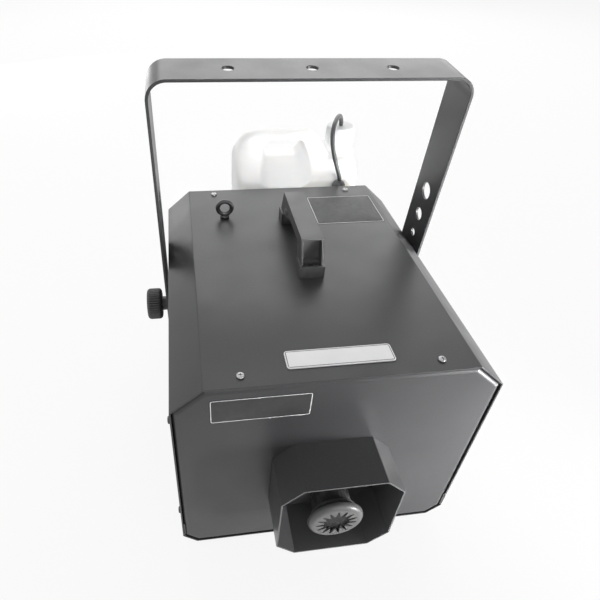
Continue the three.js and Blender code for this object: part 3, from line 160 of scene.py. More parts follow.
# %% [markdown]
# Most shapes here start as a flat outline. These helpers round its corners, move it inwards, cut its
# bevels and place it in the air, so that an outline needs only the few points that a drawing would give.

# %% Outlines
def rounded(corners, radius, steps=4):
    """Closed outline with every corner turned on an arc. The arc starts radius / tan(angle / 2) from
    the corner and its centre lies on the corner's bisector."""
    corners = np.asarray(corners, float)
    back = np.roll(corners, 1, 0) - corners
    ahead = np.roll(corners, -1, 0) - corners
    back /= np.linalg.norm(back, axis=1, keepdims=True)
    ahead /= np.linalg.norm(ahead, axis=1, keepdims=True)
    angle = np.arccos(np.clip((back * ahead).sum(1), -1, 1))[:, None]
    middle = (back + ahead) / np.linalg.norm(back + ahead, axis=1, keepdims=True)
    radius = np.broadcast_to(np.reshape(radius, (-1, 1)), angle.shape)
    centre = corners + middle * radius / np.sin(angle / 2)
    start = corners + back * radius / np.tan(angle / 2) - centre
    finish = corners + ahead * radius / np.tan(angle / 2) - centre
    sweep = (pi - angle)[:, :, None]
    t = np.linspace(0, 1, steps + 1)[None, :, None]
    arc = (np.sin((1 - t) * sweep) * start[:, None] + np.sin(t * sweep) * finish[:, None]) / np.sin(sweep)
    return (centre[:, None] + arc).reshape(-1, 2)


def inset(corners, distance):
    """Moves every side of a counter-clockwise outline inwards by a distance."""
    corners = np.asarray(corners, float)
    side = np.roll(corners, -1, 0) - corners
    side /= np.linalg.norm(side, axis=1, keepdims=True)
    normal = np.stack([-side[:, 1], side[:, 0]], 1)
    before = np.roll(normal, 1, 0)
    return corners + distance * (normal + before) / (1 + (normal * before).sum(1, keepdims=True))


def octagon(half, low, high, low_bevel, high_bevel):
    """Eight-sided outline, counter-clockwise from the lower right, with its own lower and upper bevels."""
    right = [(half - low_bevel[0], low), (half, low + low_bevel[1]), (half, high - high_bevel[1]),
             (half - high_bevel[0], high)]
    return np.array(right + [(-x, z) for x, z in reversed(right)])


def along_y(outline, depth):
    """An (x, z) outline placed at a depth along Y."""
    outline = np.asarray(outline)
    return np.stack([outline[:, 0], np.full(len(outline), depth), outline[:, 1]], 1)


def at_height(outline, height):
    """An (x, y) outline placed at a height."""
    return np.column_stack([outline, np.full(len(outline), height)])


def capped(stack):
    """Surface over a stack of rings, closed at both ends by a ring drawn together to its middle."""
    first, last = stack[0], stack[-1]
    return surface(np.array([0 * first + first.mean(0), *stack, 0 * last + last.mean(0)]), around=True)

# %% [markdown]
# Knobs, feet, washers, the cap and the jug's neck are round, so each is drawn as half a section and
# turned about an axis.

# %% Turned shapes
AXES = {"x": (1, 2, 0), "y": (2, 0, 1), "z": (0, 1, 2)}


def turned(profile, centre, axis="z", sides=48):
    """Surface of revolution: each (radius, height) point of the profile goes round the axis."""
    profile = np.asarray(profile, float)
    angle = np.arange(sides) * 2 * pi / sides
    first, second, along = AXES[axis]
    points = np.zeros((len(profile), sides, 3))
    points[:, :, first] = profile[:, :1] * np.cos(angle)
    points[:, :, second] = profile[:, :1] * np.sin(angle)
    points[:, :, along] = profile[:, 1:]
    return surface(points + np.asarray(centre), around=True)


def softened_profile(profile, radius, steps=3):
    """Profile for turning with its inner corners rounded; the first and last points stay sharp."""
    profile = np.asarray(profile, float)
    radii = np.array([1e-7] + [radius] * (len(profile) - 2) + [1e-7])
    each = rounded(profile, radii, steps).reshape(len(profile), steps + 1, 2)
    return np.concatenate([profile[:1], each[1:-1].reshape(-1, 2), profile[-1:]])


def middle_of(node):
    """Centre of a node's box."""
    low, high = np.array(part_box(node))
    return (low + high) / 2

# %% [markdown]
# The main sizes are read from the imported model, and the few sheet-metal sizes that a box cannot tell,
# such as bend radii and bevels, are set here. Everything is in metres.

# %% Sizes of the cabinet
MM = 0.001
COVER_LOW, COVER_HIGH = np.array(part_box("cover_shell"))
FRONT, REAR = COVER_LOW[1], COVER_HIGH[1]
HALF, TOP = COVER_HIGH[0], COVER_HIGH[2]
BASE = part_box("base_pan")[0][2]
SHEET = 1.5 * MM
GAP = 0.3 * MM
BEND = 2.6 * MM
TOP_BEVEL = (29 * MM, 26 * MM)
LOW_BEVEL = (15 * MM, 15.5 * MM)
CABINET_OUTLINE = octagon(HALF, BASE, TOP, LOW_BEVEL, TOP_BEVEL)
PIVOT_Y, PIVOT_Z = middle_of("knob_right")[1:]
print("cabinet", np.round([2 * HALF, REAR - FRONT, TOP - BASE], 4))
print("pivot", round(PIVOT_Y, 4), round(PIVOT_Z, 4))

# %% [markdown]
# A finish is a Principled shader with a few pattern nodes in front of it. Painted, moulded and plated
# surfaces never have one even tone: a slow noise shifts the colour and the gloss, a fine one makes the
# grain that catches the light, and edges wear lighter. A small builder class keeps each finish short.

# %% Finish builder
def grey(value, blue=None):
    """Grey of one value; its blue may be a little off."""
    return value, value, value if blue is None else blue


class Finish:
    """A material with a Principled shader whose patterns read Object coordinates."""

    def __init__(self, name, colour, roughness, **sockets):
        self.material = bpy.data.materials.new(name)
        self.material.use_nodes = True
        self.tree = self.material.node_tree
        self.shader = self.tree.nodes["Principled BSDF"]
        self.shader.inputs["Base Color"].default_value = (*colour, 1)
        self.shader.inputs["Roughness"].default_value = roughness
        for socket, value in sockets.items():
            self.shader.inputs[socket.replace("_", " ")].default_value = value
        self.place = self.node("TexCoord").outputs["Object"]

    def node(self, kind, inputs=None, **settings):
        """Adds a node; inputs are numbers, colours or the outputs of other nodes."""
        made = self.tree.nodes.new("ShaderNode" + kind)
        for key, value in settings.items():
            setattr(made, key, value)
        for socket, value in (inputs or {}).items():
            if isinstance(value, bpy.types.NodeSocket):
                self.tree.links.new(value, made.inputs[socket])
            else:
                made.inputs[socket].default_value = value
        return made

    def noise(self, scale, detail=3.0, stretch=(1, 1, 1)):
        """Noise from 0 to 1, with scale spots to the metre, stretched along the axes."""
        place = self.node("Mapping", {"Vector": self.place, "Scale": stretch}).outputs[0]
        return self.node("TexNoise", {"Vector": place, "Scale": scale, "Detail": detail}).outputs["Fac"]

    def ranged(self, value, low, high, start, end):
        """Carries a value from low..high to start..end, and holds it there outside."""
        inputs = {"Value": value, "From Min": low, "From Max": high, "To Min": start, "To Max": end}
        return self.node("MapRange", inputs).outputs[0]

    def mixed(self, factor, first, second):
        """Mix of two colours."""
        mix = self.node("Mix", data_type="RGBA")
        for socket, value in ((0, factor), (6, first), (7, second)):
            if isinstance(value, bpy.types.NodeSocket):
                self.tree.links.new(value, mix.inputs[socket])
            else:
                mix.inputs[socket].default_value = (*value, 1) if socket else value
        return mix.outputs[2]

    def combined(self, first, second, operation="MULTIPLY"):
        """Two values multiplied, or put together by another operation."""
        return self.node("Math", {0: first, 1: second}, operation=operation).outputs[0]

    def edges(self):
        """1 on outer edges and 0 on flat faces."""
        return self.ranged(self.node("NewGeometry").outputs["Pointiness"], 0.56, 0.68, 0, 1)

    def gloss(self, scale, detail, smooth, rough):
        """Roughness that wanders between two values."""
        self.drive("Roughness", self.ranged(self.noise(scale, detail), 0.3, 0.7, smooth, rough))

    def drive(self, socket, value):
        self.tree.links.new(value, self.shader.inputs[socket])

    def bump(self, height, depth, before=None):
        """Bump whose full height is depth metres; before is an earlier bump to add to."""
        inputs = {"Height": height, "Strength": 1.0, "Distance": depth}
        if before:
            inputs["Normal"] = before
        out = self.node("Bump", inputs).outputs[0]
        self.drive("Normal", out)
        return out


def tones(finish, dark, light, scale, detail=4.0):
    """Slow change between two tones of the same colour."""
    spots = finish.ranged(finish.noise(scale, detail), 0.3, 0.7, 0, 1)
    return finish.mixed(spots, dark, light)

# %% [markdown]
# The cabinet, yoke, duct and tray wear one satin black powder coat. Under a lamp it shows a faint
# orange-peel ripple, a slightly uneven gloss, and paler edges where the coat is thin or rubbed. Paler
# copies of the same coat are painted light on the duct: a painted highlight on its cut edge, and painted
# light that lifts the shade of its inside.

# %% Black powder coat
def powder_coat(name, dark, light, roughness, edge_tone):
    coat = Finish(name, dark, roughness, Specular_IOR_Level=0.42)
    tone = tones(coat, dark, light, 9)
    speck = coat.ranged(coat.noise(900, 2), 0.62, 0.74, 0, 0.5)
    tone = coat.mixed(speck, tone, tuple(1.9 * c for c in light))
    rub = coat.combined(coat.edges(), coat.ranged(coat.noise(60, 5), 0.4, 0.65, 0.05, 0.6))
    coat.drive("Base Color", coat.mixed(rub, tone, edge_tone))
    coat.gloss(22, 5, roughness - 0.05, roughness + 0.06)
    ripple = coat.bump(coat.noise(650, 2), 0.035 * MM)
    coat.bump(coat.noise(2600, 1), 0.012 * MM, ripple)
    return coat.material


black_coat = powder_coat("black_coat", grey(0.034, 0.036), grey(0.042, 0.044), 0.36, grey(0.16))
# Painted highlight: a paler copy of the coat for the light that the duct's cut edges catch.
duct_edge_highlight = powder_coat("duct_edge_highlight", grey(0.10, 0.103), grey(0.15, 0.153), 0.38, grey(0.26))
# Painted light: a paler copy of the coat that lifts the shade inside the duct.
duct_inside_painted_light = powder_coat("duct_inside_painted_light", grey(0.095, 0.098), grey(0.11, 0.113), 0.42, grey(0.16))
print("powder coats", black_coat.name, duct_edge_highlight.name, duct_inside_painted_light.name)

# %% [markdown]
# The moulded parts are plastics. Black glass-filled nylon has a fine spark-eroded grain and rubs shiny
# on its edges; the grey nozzle is smoother. Rubber is duller still and gathers pale dust.

# %% Plastics and rubber
def moulded(name, dark, light, roughness, grain, edge_tone, **sockets):
    plastic = Finish(name, dark, roughness, **sockets)
    tone = tones(plastic, dark, light, 25)
    rub = plastic.combined(plastic.edges(), plastic.ranged(plastic.noise(120, 4), 0.4, 0.65, 0, 0.7))
    plastic.drive("Base Color", plastic.mixed(rub, tone, edge_tone))
    plastic.gloss(45, 4, roughness - 0.06, roughness + 0.07)
    plastic.bump(plastic.noise(1500, 3), grain)
    return plastic.material


def rubber(name, dark, light):
    soft = Finish(name, dark, 0.8)
    dust = soft.ranged(soft.noise(200, 6), 0.5, 0.75, 0, 0.35)
    soft.drive("Base Color", soft.mixed(dust, tones(soft, dark, light, 30), (0.13, 0.125, 0.12)))
    soft.gloss(70, 4, 0.7, 0.9)
    soft.bump(soft.noise(1900, 3), 0.03 * MM)
    return soft.material


black_plastic = moulded("black_plastic", grey(0.040, 0.041), grey(0.056, 0.057), 0.40, 0.03 * MM,
                        grey(0.15))
grey_plastic = moulded("grey_plastic", grey(0.105), grey(0.135, 0.133), 0.36, 0.012 * MM,
                       grey(0.20))
rubber_foot = rubber("rubber_foot", grey(0.018), grey(0.03))
rubber_washer = rubber("rubber_washer", grey(0.022), grey(0.034))
rubber_hose = moulded("rubber_hose", grey(0.035, 0.037), grey(0.055, 0.057), 0.38, 0.01 * MM,
                      grey(0.10))
print("plastics and rubber ready")

# %% [markdown]
# Zinc plate is bright with cloudy patches and fine rubbing marks. Black oxide on screws is dark and
# oily. The pump's barrel and coil clamp are brass.

# %% Metals
def plated(name, dark, light, roughness, marks=0.02 * MM):
    metal = Finish(name, dark, roughness, Metallic=1.0)
    clouds = tones(metal, dark, light, 60, 5)
    grime = metal.ranged(metal.noise(300, 6), 0.55, 0.8, 0, 0.45)
    metal.drive("Base Color", metal.mixed(grime, clouds, tuple(0.45 * c for c in dark)))
    metal.gloss(140, 5, roughness - 0.07, roughness + 0.1)
    metal.bump(metal.noise(900, 4, (1, 1, 0.15)), marks)
    return metal.material


zinc_screw = plated("zinc_screw", grey(0.30, 0.31), grey(0.42), 0.32)
zinc_steel = plated("zinc_steel", (0.44, 0.45, 0.46), grey(0.60), 0.34)
black_screw = plated("black_screw", grey(0.055, 0.058), grey(0.09, 0.092), 0.36)
pump_brass = plated("pump_brass", (0.56, 0.38, 0.16), (0.70, 0.50, 0.24), 0.32)
print("metals ready")

# %% [markdown]
# The jug and its cap are unpigmented polythene: light sinks in, spreads and comes out again, so the
# white is soft and slightly waxy. The fluid inside darkens the lower part a little. The clear lines
# and the white plate are simpler relatives.

# %% Polythene, plate, clear tube and circuit board
def polythene(name):
    wax = Finish(name, grey(0.80, 0.79), 0.40, Subsurface_Weight=0.8, Subsurface_Scale=0.012)
    wax.shader.inputs["Subsurface Radius"].default_value = (1.0, 0.95, 0.9)
    height = wax.node("SeparateXYZ", {0: wax.place}).outputs["Z"]
    ripple = wax.combined(wax.noise(8, 2), 0.004)
    level = wax.combined(height, ripple, "ADD")
    filled = wax.ranged(level, 0.200, 0.206, 1, 0)
    clear_part = tones(wax, grey(0.81, 0.805), grey(0.85, 0.845), 14)
    filled_part = tones(wax, (0.77, 0.775, 0.77), grey(0.81, 0.805), 14)
    wax.drive("Base Color", wax.mixed(filled, clear_part, filled_part))
    wax.gloss(40, 4, 0.34, 0.48)
    wax.bump(wax.noise(60, 4), 0.25 * MM)
    return wax.material


def printed_plate(name):
    plate = Finish(name, grey(0.92), 0.32)
    plate.drive("Base Color", tones(plate, grey(0.90, 0.905), grey(0.94), 40))
    plate.gloss(150, 5, 0.27, 0.4)
    plate.bump(plate.noise(1200, 2, (0.15, 1, 1)), 0.01 * MM)
    return plate.material


def clear_line(name):
    line = Finish(name, (0.86, 0.88, 0.88), 0.15, Transmission_Weight=0.75, IOR=1.45)
    line.drive("Base Color", tones(line, (0.80, 0.83, 0.82), (0.9, 0.91, 0.9), 60))
    line.bump(line.noise(300, 3), 0.02 * MM)
    return line.material


def circuit(name):
    board = Finish(name, (0.02, 0.09, 0.04), 0.35)
    tracks = board.node("TexBrick", {"Vector": board.place, "Scale": 130.0, "Mortar Size": 0.03})
    lacquer = tones(board, (0.015, 0.075, 0.035), (0.03, 0.12, 0.055), 50)
    board.drive("Base Color", board.mixed(tracks.outputs["Fac"], lacquer, (0.10, 0.24, 0.10)))
    board.bump(board.noise(700, 3), 0.03 * MM)
    return board.material


natural_polythene = polythene("natural_polythene")
white_plate = printed_plate("white_plate")
clear_tube = clear_line("clear_tube")
circuit_board = circuit("circuit_board")
print("remaining finishes ready")

# %% [markdown]
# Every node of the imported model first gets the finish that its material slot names. Nodes that stay,
# such as the blower and the pump inside the cabinet, are finished by this alone.

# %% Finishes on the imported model
FINISHES = {
    "black_coat": black_coat, "rubber_foot": rubber_foot, "zinc_screw": zinc_screw,
    "black_screw": black_screw, "grey_plastic": grey_plastic, "zinc_steel": zinc_steel,
    "pump_brass": pump_brass, "clear_tube": clear_tube, "circuit_board": circuit_board,
    "white_plate": white_plate, "natural_polythene": natural_polythene, "rubber_hose": rubber_hose,
    "rubber_washer": rubber_washer, "black_plastic": black_plastic,
}
SLOT_OF = {part["node"]: part["material_slot"] for part in frame["record"]["subparts"]}
BODY_OF = {node: body for body, nodes in frame["record"]["behaviour"]["bodies"].items() for node in nodes}
for node, slot in SLOT_OF.items():
    frame["nodes"][node].data.materials.clear()
    frame["nodes"][node].data.materials.append(FINISHES[slot])
print(len(SLOT_OF), "nodes finished in", len(FINISHES), "materials")


def stand_in(node, surfaces, **finishing):
    """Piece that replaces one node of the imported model, in that node's finish and on its body."""
    finishing.setdefault("material", FINISHES[SLOT_OF[node]])
    made = piece(f"{node}_piece", surfaces, body=BODY_OF[node], stands_for=[node], **finishing)
    return made

# %% [markdown]
# The suction hose is a fixed length of rubber tube that leaves the elbow, stands up, arches over and
# goes down into the jug's cap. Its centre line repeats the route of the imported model; a smooth curve
# runs through the points, and a ring carried along it without twisting makes the tube.

# %% Suction hose
HOSE_DIAMETER = 6 * MM
CAD_ORIGIN = np.array([0, -220.8, 0])
HOSE_ROUTE = (np.array([
    [88, 351, 268.3], [87.6, 351, 272.5], [84.8, 351, 280.5], [80.8, 351, 291], [76.8, 351, 302],
    [73.6, 351.4, 313], [71.8, 353, 322], [71.6, 356.6, 329.8], [73, 362, 335.8], [75.8, 369, 339.9],
    [79.4, 377, 342], [83.5, 385.6, 342.8], [87.8, 394, 342.4], [92, 402, 340.6], [95.8, 409.4, 337],
    [99.2, 416, 331.4], [102, 421.6, 324], [102.9, 423.8, 320.4],
]) + CAD_ORIGIN) * MM


def smooth_line(route, steps):
    """Centripetal Catmull-Rom curve: knots lie a square root of distance apart, and each stretch mixes
    the lines through its four nearest points."""
    ends = np.vstack([2 * route[0] - route[1], route, 2 * route[-1] - route[-2]])
    gaps = np.sqrt(np.linalg.norm(np.diff(ends, axis=0), axis=1))
    knots = np.concatenate([[0], np.cumsum(gaps)])
    t = np.linspace(knots[1], knots[-2], steps, endpoint=False)
    t = np.append(t, knots[-2] - 1e-9)
    k = np.searchsorted(knots, t, side="right") - 1

    def mix(a, b, ta, tb):
        return (a * (tb - t)[:, None] + b * (t - ta)[:, None]) / (tb - ta)[:, None]

    p, s = [ends[k + i - 1] for i in range(4)], [knots[k + i - 1] for i in range(4)]
    first = [mix(p[i], p[i + 1], s[i], s[i + 1]) for i in range(3)]
    second = [mix(first[i], first[i + 1], s[i], s[i + 2]) for i in range(2)]
    return mix(second[0], second[1], s[1], s[2])


def tube(line, radius, sides=16):
    """Ring of points carried along a line; each ring is square to the line and keeps one fixed side."""
    along = np.gradient(line, axis=0)
    along /= np.linalg.norm(along, axis=1, keepdims=True)
    side = np.cross(along, [1.0, 0.35, 0.0])
    side /= np.linalg.norm(side, axis=1, keepdims=True)
    other = np.cross(along, side)
    angle = np.arange(sides) * 2 * pi / sides
    ring = side[:, None] * np.cos(angle)[None, :, None] + other[:, None] * np.sin(angle)[None, :, None]
    return surface(line[:, None] + radius * ring, around=True)


hose_line = smooth_line(HOSE_ROUTE, 90)
hose_mesh = make_mesh("suction_hose_piece", [tube(hose_line, HOSE_DIAMETER / 2)])
hose_mesh.materials.append(rubber_hose)
hose_mesh.shade_smooth()
hose = new_object("suction_hose_piece", hose_mesh)
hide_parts("suction_hose")
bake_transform(hose)

# %% [markdown]
# The cover is one sheet bent over the top and both sides, with rows of cooling slots pressed through
# its side walls. Its surface is the bent outline carried along Y. The slots are grid cells left out,
# and the grid lines beside each slot draw together at its ends on a half circle.

# %% Cover
VENTS, VENT_WIDTH, VENT_HEIGHT, VENT_PITCH = 9, 3.4 * MM, 46 * MM, 9 * MM
VENT_Y, VENT_Z = middle_of("blower_wheel")[1:]


def cover_surface():
    """Each side wall has levels at the slots' ends; the top bends lie between the two walls."""
    half = VENT_WIDTH / 2
    curl = np.linspace(0, pi / 2, 5)
    ends = VENT_HEIGHT / 2 - half + half * np.sin(curl)
    levels = np.concatenate([[COVER_LOW[2]], VENT_Z - ends[::-1], VENT_Z + ends])
    bends = rounded(CABINET_OUTLINE, BEND).reshape(8, -1, 2)[2:6].reshape(-1, 2)
    wall = np.stack([np.full(len(levels), HALF), levels], 1)
    outline = np.concatenate([wall, bends, wall[::-1] * [-1, 1]])
    middles = VENT_Y + (np.arange(VENTS) - (VENTS - 1) / 2) * VENT_PITCH
    columns = np.concatenate([[FRONT], np.stack([middles - half, middles + half], 1).ravel(), [REAR]])
    points = np.zeros((len(outline), len(columns), 3))
    points[:, :, 0], points[:, :, 2] = outline[:, :1], outline[:, 1:]
    points[:, :, 1] = columns
    narrow = half - half * np.concatenate([[1], np.cos(curl[::-1]), np.cos(curl)])
    narrow = np.concatenate([narrow, np.zeros(len(bends)), narrow[::-1]])
    points[:, 1:-1, 1] += narrow[:, None] * np.tile([1, -1], VENTS)
    keep = np.ones((len(outline) - 1, len(columns) - 1), bool)
    for start in (1, len(levels) + len(bends)):
        keep[start:start + len(levels) - 2, 1:-1:2] = False
    return surface(points, keep=keep)


stand_in("cover_shell", [cover_surface()], wall=SHEET, bevel=0.35 * MM)

# %% [markdown]
# Below the cover, the base pan is the other half of the wrap. It is the lower part of the same outline,
# with its upper edges set inwards to lie behind the cover.

# %% Base pan
def base_pan_surface():
    """The lower outline, from one lap to the other, carried along Y between the end panels' edges."""
    seam, lap = COVER_LOW[2] - GAP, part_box("base_pan")[1][2]
    inner = HALF - SHEET - GAP
    bends = rounded(CABINET_OUTLINE, BEND).reshape(8, -1, 2)
    lower = np.concatenate([bends[6], bends[7], bends[0], bends[1]])
    side = np.array([[HALF, seam - SHEET], [inner, seam + SHEET], [inner, lap]])
    outline = np.concatenate([side[::-1] * [-1, 1], lower, side])
    points = np.zeros((len(outline), 2, 3))
    points[:, :, 0], points[:, :, 2] = outline[:, :1], outline[:, 1:]
    points[:, :, 1] = [FRONT, REAR]
    return surface(points)


stand_in("base_pan", [base_pan_surface()], wall=SHEET, bevel=0.35 * MM)

# %% [markdown]
# The front panel is a plate whose edges turn back into the cabinet on a soft bend, with an eight-sided
# opening for the duct. Rings of the same outline, each set in a little further, run from the turned
# edge round the bend and over the face to the opening.

# %% Front panel
DUCT_LOW, DUCT_HIGH = np.array(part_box("outlet_duct"))
DUCT_RIM = 12 * MM
DUCT_HALF = DUCT_HIGH[0] - DUCT_RIM
DUCT_BEVEL = (19.5 * MM, 19.5 * MM)
DUCT_OUTLINE = octagon(DUCT_HALF, DUCT_LOW[2] + DUCT_RIM, DUCT_HIGH[2] - DUCT_RIM, DUCT_BEVEL, DUCT_BEVEL)
PANEL_INSET = SHEET + GAP
PANEL_BEND = 5.5 * MM


def rings(outline, stations, corner):
    """Closed rings of an outline: each station is (inset, depth along Y), with its corners rounded."""
    return np.stack([
        along_y(rounded(inset(outline, distance), max(corner - distance, 0.4 * MM)), depth)
        for distance, depth in stations])


def bend_stations(face, depth, radius, steps=6):
    """Stations of a turned edge: from depth behind the face, straight, then round a quarter circle."""
    angle = np.linspace(0, pi / 2, steps + 1)
    round_part = np.stack([radius * (1 - np.cos(angle)), face + radius * (1 - np.sin(angle))], 1)
    return np.concatenate([[[0, face + depth]], round_part])


def front_panel_surfaces():
    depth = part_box("front_panel")[1][1] - FRONT
    stations = bend_stations(FRONT, depth, PANEL_BEND)
    stations[:, 0] += PANEL_INSET
    outside = rings(CABINET_OUTLINE, stations, BEND + 1 * MM)
    past_bend = PANEL_INSET + PANEL_BEND + 0.5 * MM
    flat = rings(CABINET_OUTLINE, [(past_bend, FRONT), (past_bend + 4 * MM, FRONT)], BEND + 1 * MM)
    opening = rings(DUCT_OUTLINE, [(-3 * MM, FRONT), (-GAP, FRONT)], 2 * MM)
    return [surface(np.concatenate([outside, flat, opening]), around=True)]


stand_in("front_panel", front_panel_surfaces(), wall=SHEET, bevel=0.3 * MM)

# %% [markdown]
# The outlet duct is an eight-sided tube of the same sheet, folded out into a rim behind the front
# panel and closed by a plate that has a hole for the air pipe. Its cut edges get a paler coat as a
# painted highlight, and its inside gets a paler coat as painted light in its shade.

# %% Outlet duct
NOZZLE_LOW, NOZZLE_HIGH = np.array(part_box("nozzle_cup"))
NOZZLE_X, NOZZLE_Z = 0.0, middle_of("nozzle_cup")[2]
PIPE_RADIUS = 19.5 * MM
DUCT_CORNER = 2.2 * MM


def duct_surfaces():
    """Tube and rim as rings of the duct's outline, and a back plate that shrinks to a round hole."""
    back = DUCT_HIGH[1]
    fold = 1.5 * MM
    tube_part = rings(DUCT_OUTLINE, [(0, DUCT_LOW[1]), (0, back - fold), (-0.3 * fold, back - 0.3 * fold),
                                     (-fold, back), (-DUCT_RIM, back)], DUCT_CORNER)
    edge = rings(DUCT_OUTLINE, [(SHEET, back - SHEET)], DUCT_CORNER)[0]
    angle = np.arctan2(edge[:, 2] - NOZZLE_Z, edge[:, 0] - NOZZLE_X)
    hole = np.stack([NOZZLE_X + (PIPE_RADIUS + GAP) * np.cos(angle), edge[:, 1],
                     NOZZLE_Z + (PIPE_RADIUS + GAP) * np.sin(angle)], 1)
    return [surface(tube_part, around=True), surface(np.stack([edge, hole]), around=True)]


# The rim finish is the painted highlight on the cut edges, and the inside finish is painted light in the
# duct's shade.
stand_in("outlet_duct", duct_surfaces(), wall=SHEET, bevel=0.4 * MM, rim=[duct_edge_highlight], inside=[duct_inside_painted_light])

# %% [markdown]
# The nozzle is a moulded cup pushed over the end of the air pipe. Fifteen narrow slots run outwards
# from the round opening in its face, so the face is a grid of fifteen equal sectors: in each one, two
# columns follow the slot's tapering sides and the cells between them are left out.

# %% Nozzle
STAR_SLOTS = 15
STAR_INNER, STAR_OUTER = 12.5 * MM, 20.4 * MM
STAR_ROOT, STAR_TIP = 4.2 * MM, 1.6 * MM
NOZZLE_RADIUS, NOZZLE_FACE, NOZZLE_WALL = NOZZLE_HIGH[2] - NOZZLE_Z, 22.2 * MM, 2.5 * MM
NOZZLE_NECK = PIPE_RADIUS + GAP + NOZZLE_WALL


def nozzle_surface():
    """Rows run from the opening over the face, round the rim and back down the neck. A slot's side lies
    at the angle whose sine is half its width over the radius; the width shrinks towards the tip."""
    root, tip = STAR_ROOT / 2, STAR_TIP / 2
    curl = np.linspace(0, pi / 2, 4)
    slot_rows = np.concatenate([np.linspace(STAR_INNER, STAR_OUTER - tip, 5)[:-1],
                                STAR_OUTER - tip + tip * np.sin(curl)])
    width = np.concatenate([np.linspace(root, tip, 5)[:-1], tip * np.cos(curl)])
    turn = np.linspace(0, pi / 2, 8)
    round_rim = NOZZLE_RADIUS - NOZZLE_FACE
    rim = np.stack([NOZZLE_FACE + round_rim * np.sin(turn), round_rim * (1 - np.cos(turn))], 1)
    length = NOZZLE_HIGH[1] - NOZZLE_LOW[1]
    waist = np.array([[NOZZLE_RADIUS, 0.48 * length], [NOZZLE_RADIUS - 0.8 * MM, 0.56 * length],
                      [NOZZLE_NECK + 1 * MM, 0.72 * length], [NOZZLE_NECK, 0.80 * length],
                      [NOZZLE_NECK, length]])
    profile = np.concatenate([np.stack([slot_rows, np.zeros(len(slot_rows))], 1), rim, waist])
    width = np.concatenate([width, np.full(len(profile) - len(width), tip)])
    side = np.arcsin(np.minimum(width / profile[:, 0], 1))
    sector = 2 * pi / STAR_SLOTS
    share = np.linspace(0, 1, 6)
    between = side[:, None] + share * (sector - 2 * side)[:, None]
    angle = (np.arange(STAR_SLOTS)[None, :, None] * sector + between[:, None, :]).reshape(len(profile), -1)
    angle += pi / 2
    radius, depth = profile[:, :1], NOZZLE_LOW[1] + profile[:, 1:]
    points = np.stack([NOZZLE_X + radius * np.cos(angle), np.broadcast_to(depth, angle.shape),
                       NOZZLE_Z + radius * np.sin(angle)], 2)
    keep = np.ones((len(profile) - 1, angle.shape[1]), bool)
    keep[:len(slot_rows) - 1, 5::6] = False
    return surface(points, around=True, keep=keep)


stand_in("nozzle_cup", [nozzle_surface()], wall=NOZZLE_WALL * 0.8, bevel=0.25 * MM, edge=30)

# %% [markdown]
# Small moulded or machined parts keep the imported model's shape, but a real edge is never perfectly
# sharp. A copy of the node is merged, its flat faces are joined, and every hard edge gets a small
# rounding, which is what catches the light.

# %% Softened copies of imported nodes
def softened(node, width, edge=35):
    """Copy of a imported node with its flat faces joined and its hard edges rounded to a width."""
    mesh = frame["nodes"][node].data.copy()
    mesh.materials.clear()
    work = bmesh.new()
    work.from_mesh(mesh)
    bmesh.ops.remove_doubles(work, verts=work.verts, dist=5e-6)
    bmesh.ops.dissolve_limit(work, angle_limit=radians(1), verts=work.verts, edges=work.edges)
    work.to_mesh(mesh)
    work.free()
    return stand_in(node, mesh, bevel=width, edge=edge)


softened("rear_panel", 0.45 * MM)
for node in ("mains_inlet", "switch_frame", "can_tray"):
    softened(node, 0.5 * MM)
for node in ("fuse_holder", "fuse_cap", "remote_socket", "button_bezel", "run_button", "switch_rocker",
             "pivot_nut_left", "pivot_nut_right", "lifting_eye_nut"):
    softened(node, 0.4 * MM, edge=28)

# %% [markdown]
# A screw shows only its pan head: a low dome with a cross recess. The head is a square grid pressed
# into a disc, with grid lines on the sides of the cross, so the recess is a block of vertices moved
# down. One function makes every head.

# %% Screw heads
def screw_surfaces(seat, axis, radius, height):
    """A square grid u, v is pressed into a disc by x = u sqrt(1 - v^2 / 2); its height falls from the
    middle on an ellipse, and the vertices inside the cross go down."""
    arm, blade = 0.52, 0.13
    half = np.array([0, 0.6 * blade, blade, 0.25, 0.38, 0.9 * arm, arm, 0.66, 0.8, 0.9, 1.0])
    lines = np.concatenate([-half[:0:-1], half])
    u, v = np.meshgrid(lines, lines, indexing="ij")
    x, y = u * np.sqrt(1 - v ** 2 / 2), v * np.sqrt(1 - u ** 2 / 2)
    away = np.minimum(np.hypot(x, y), 1)
    dome = height * (0.3 + 0.7 * np.sqrt(1 - 0.97 * away ** 4))
    long, narrow = 0.9 * arm + 1e-6, 0.6 * blade + 1e-6
    cross = ((abs(u) < long) & (abs(v) < narrow)) | ((abs(v) < long) & (abs(u) < narrow))
    dome[cross] -= 0.62 * height
    top = np.stack([x * radius, y * radius, dome], 2)
    border = [np.s_[0, :-1], np.s_[:-1, -1], np.s_[-1, :0:-1], np.s_[:0:-1, 0]]
    rim = np.concatenate([top[side] for side in border])
    skirt = np.stack([rim, rim * [1, 1, 0]])
    first, second, along = AXES[axis[-1]]
    sign = -1 if axis[0] == "-" else 1
    placed = []
    for points, around in ((top, False), (skirt, True)):
        out = np.zeros_like(points)
        out[..., [first, second, along]] = points * [1, 1, sign]
        placed.append(surface(out + seat, around=around))
    return placed


def add_screw(node, axis, radius, height):
    """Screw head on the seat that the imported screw's box gives."""
    low, high = np.array(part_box(node))
    seat = middle_of(node)
    along = AXES[axis[-1]][2]
    seat[along] = low[along] + height if axis[0] == "-" else high[along] - height
    stand_in(node, screw_surfaces(seat, axis, radius, height), edge=28)


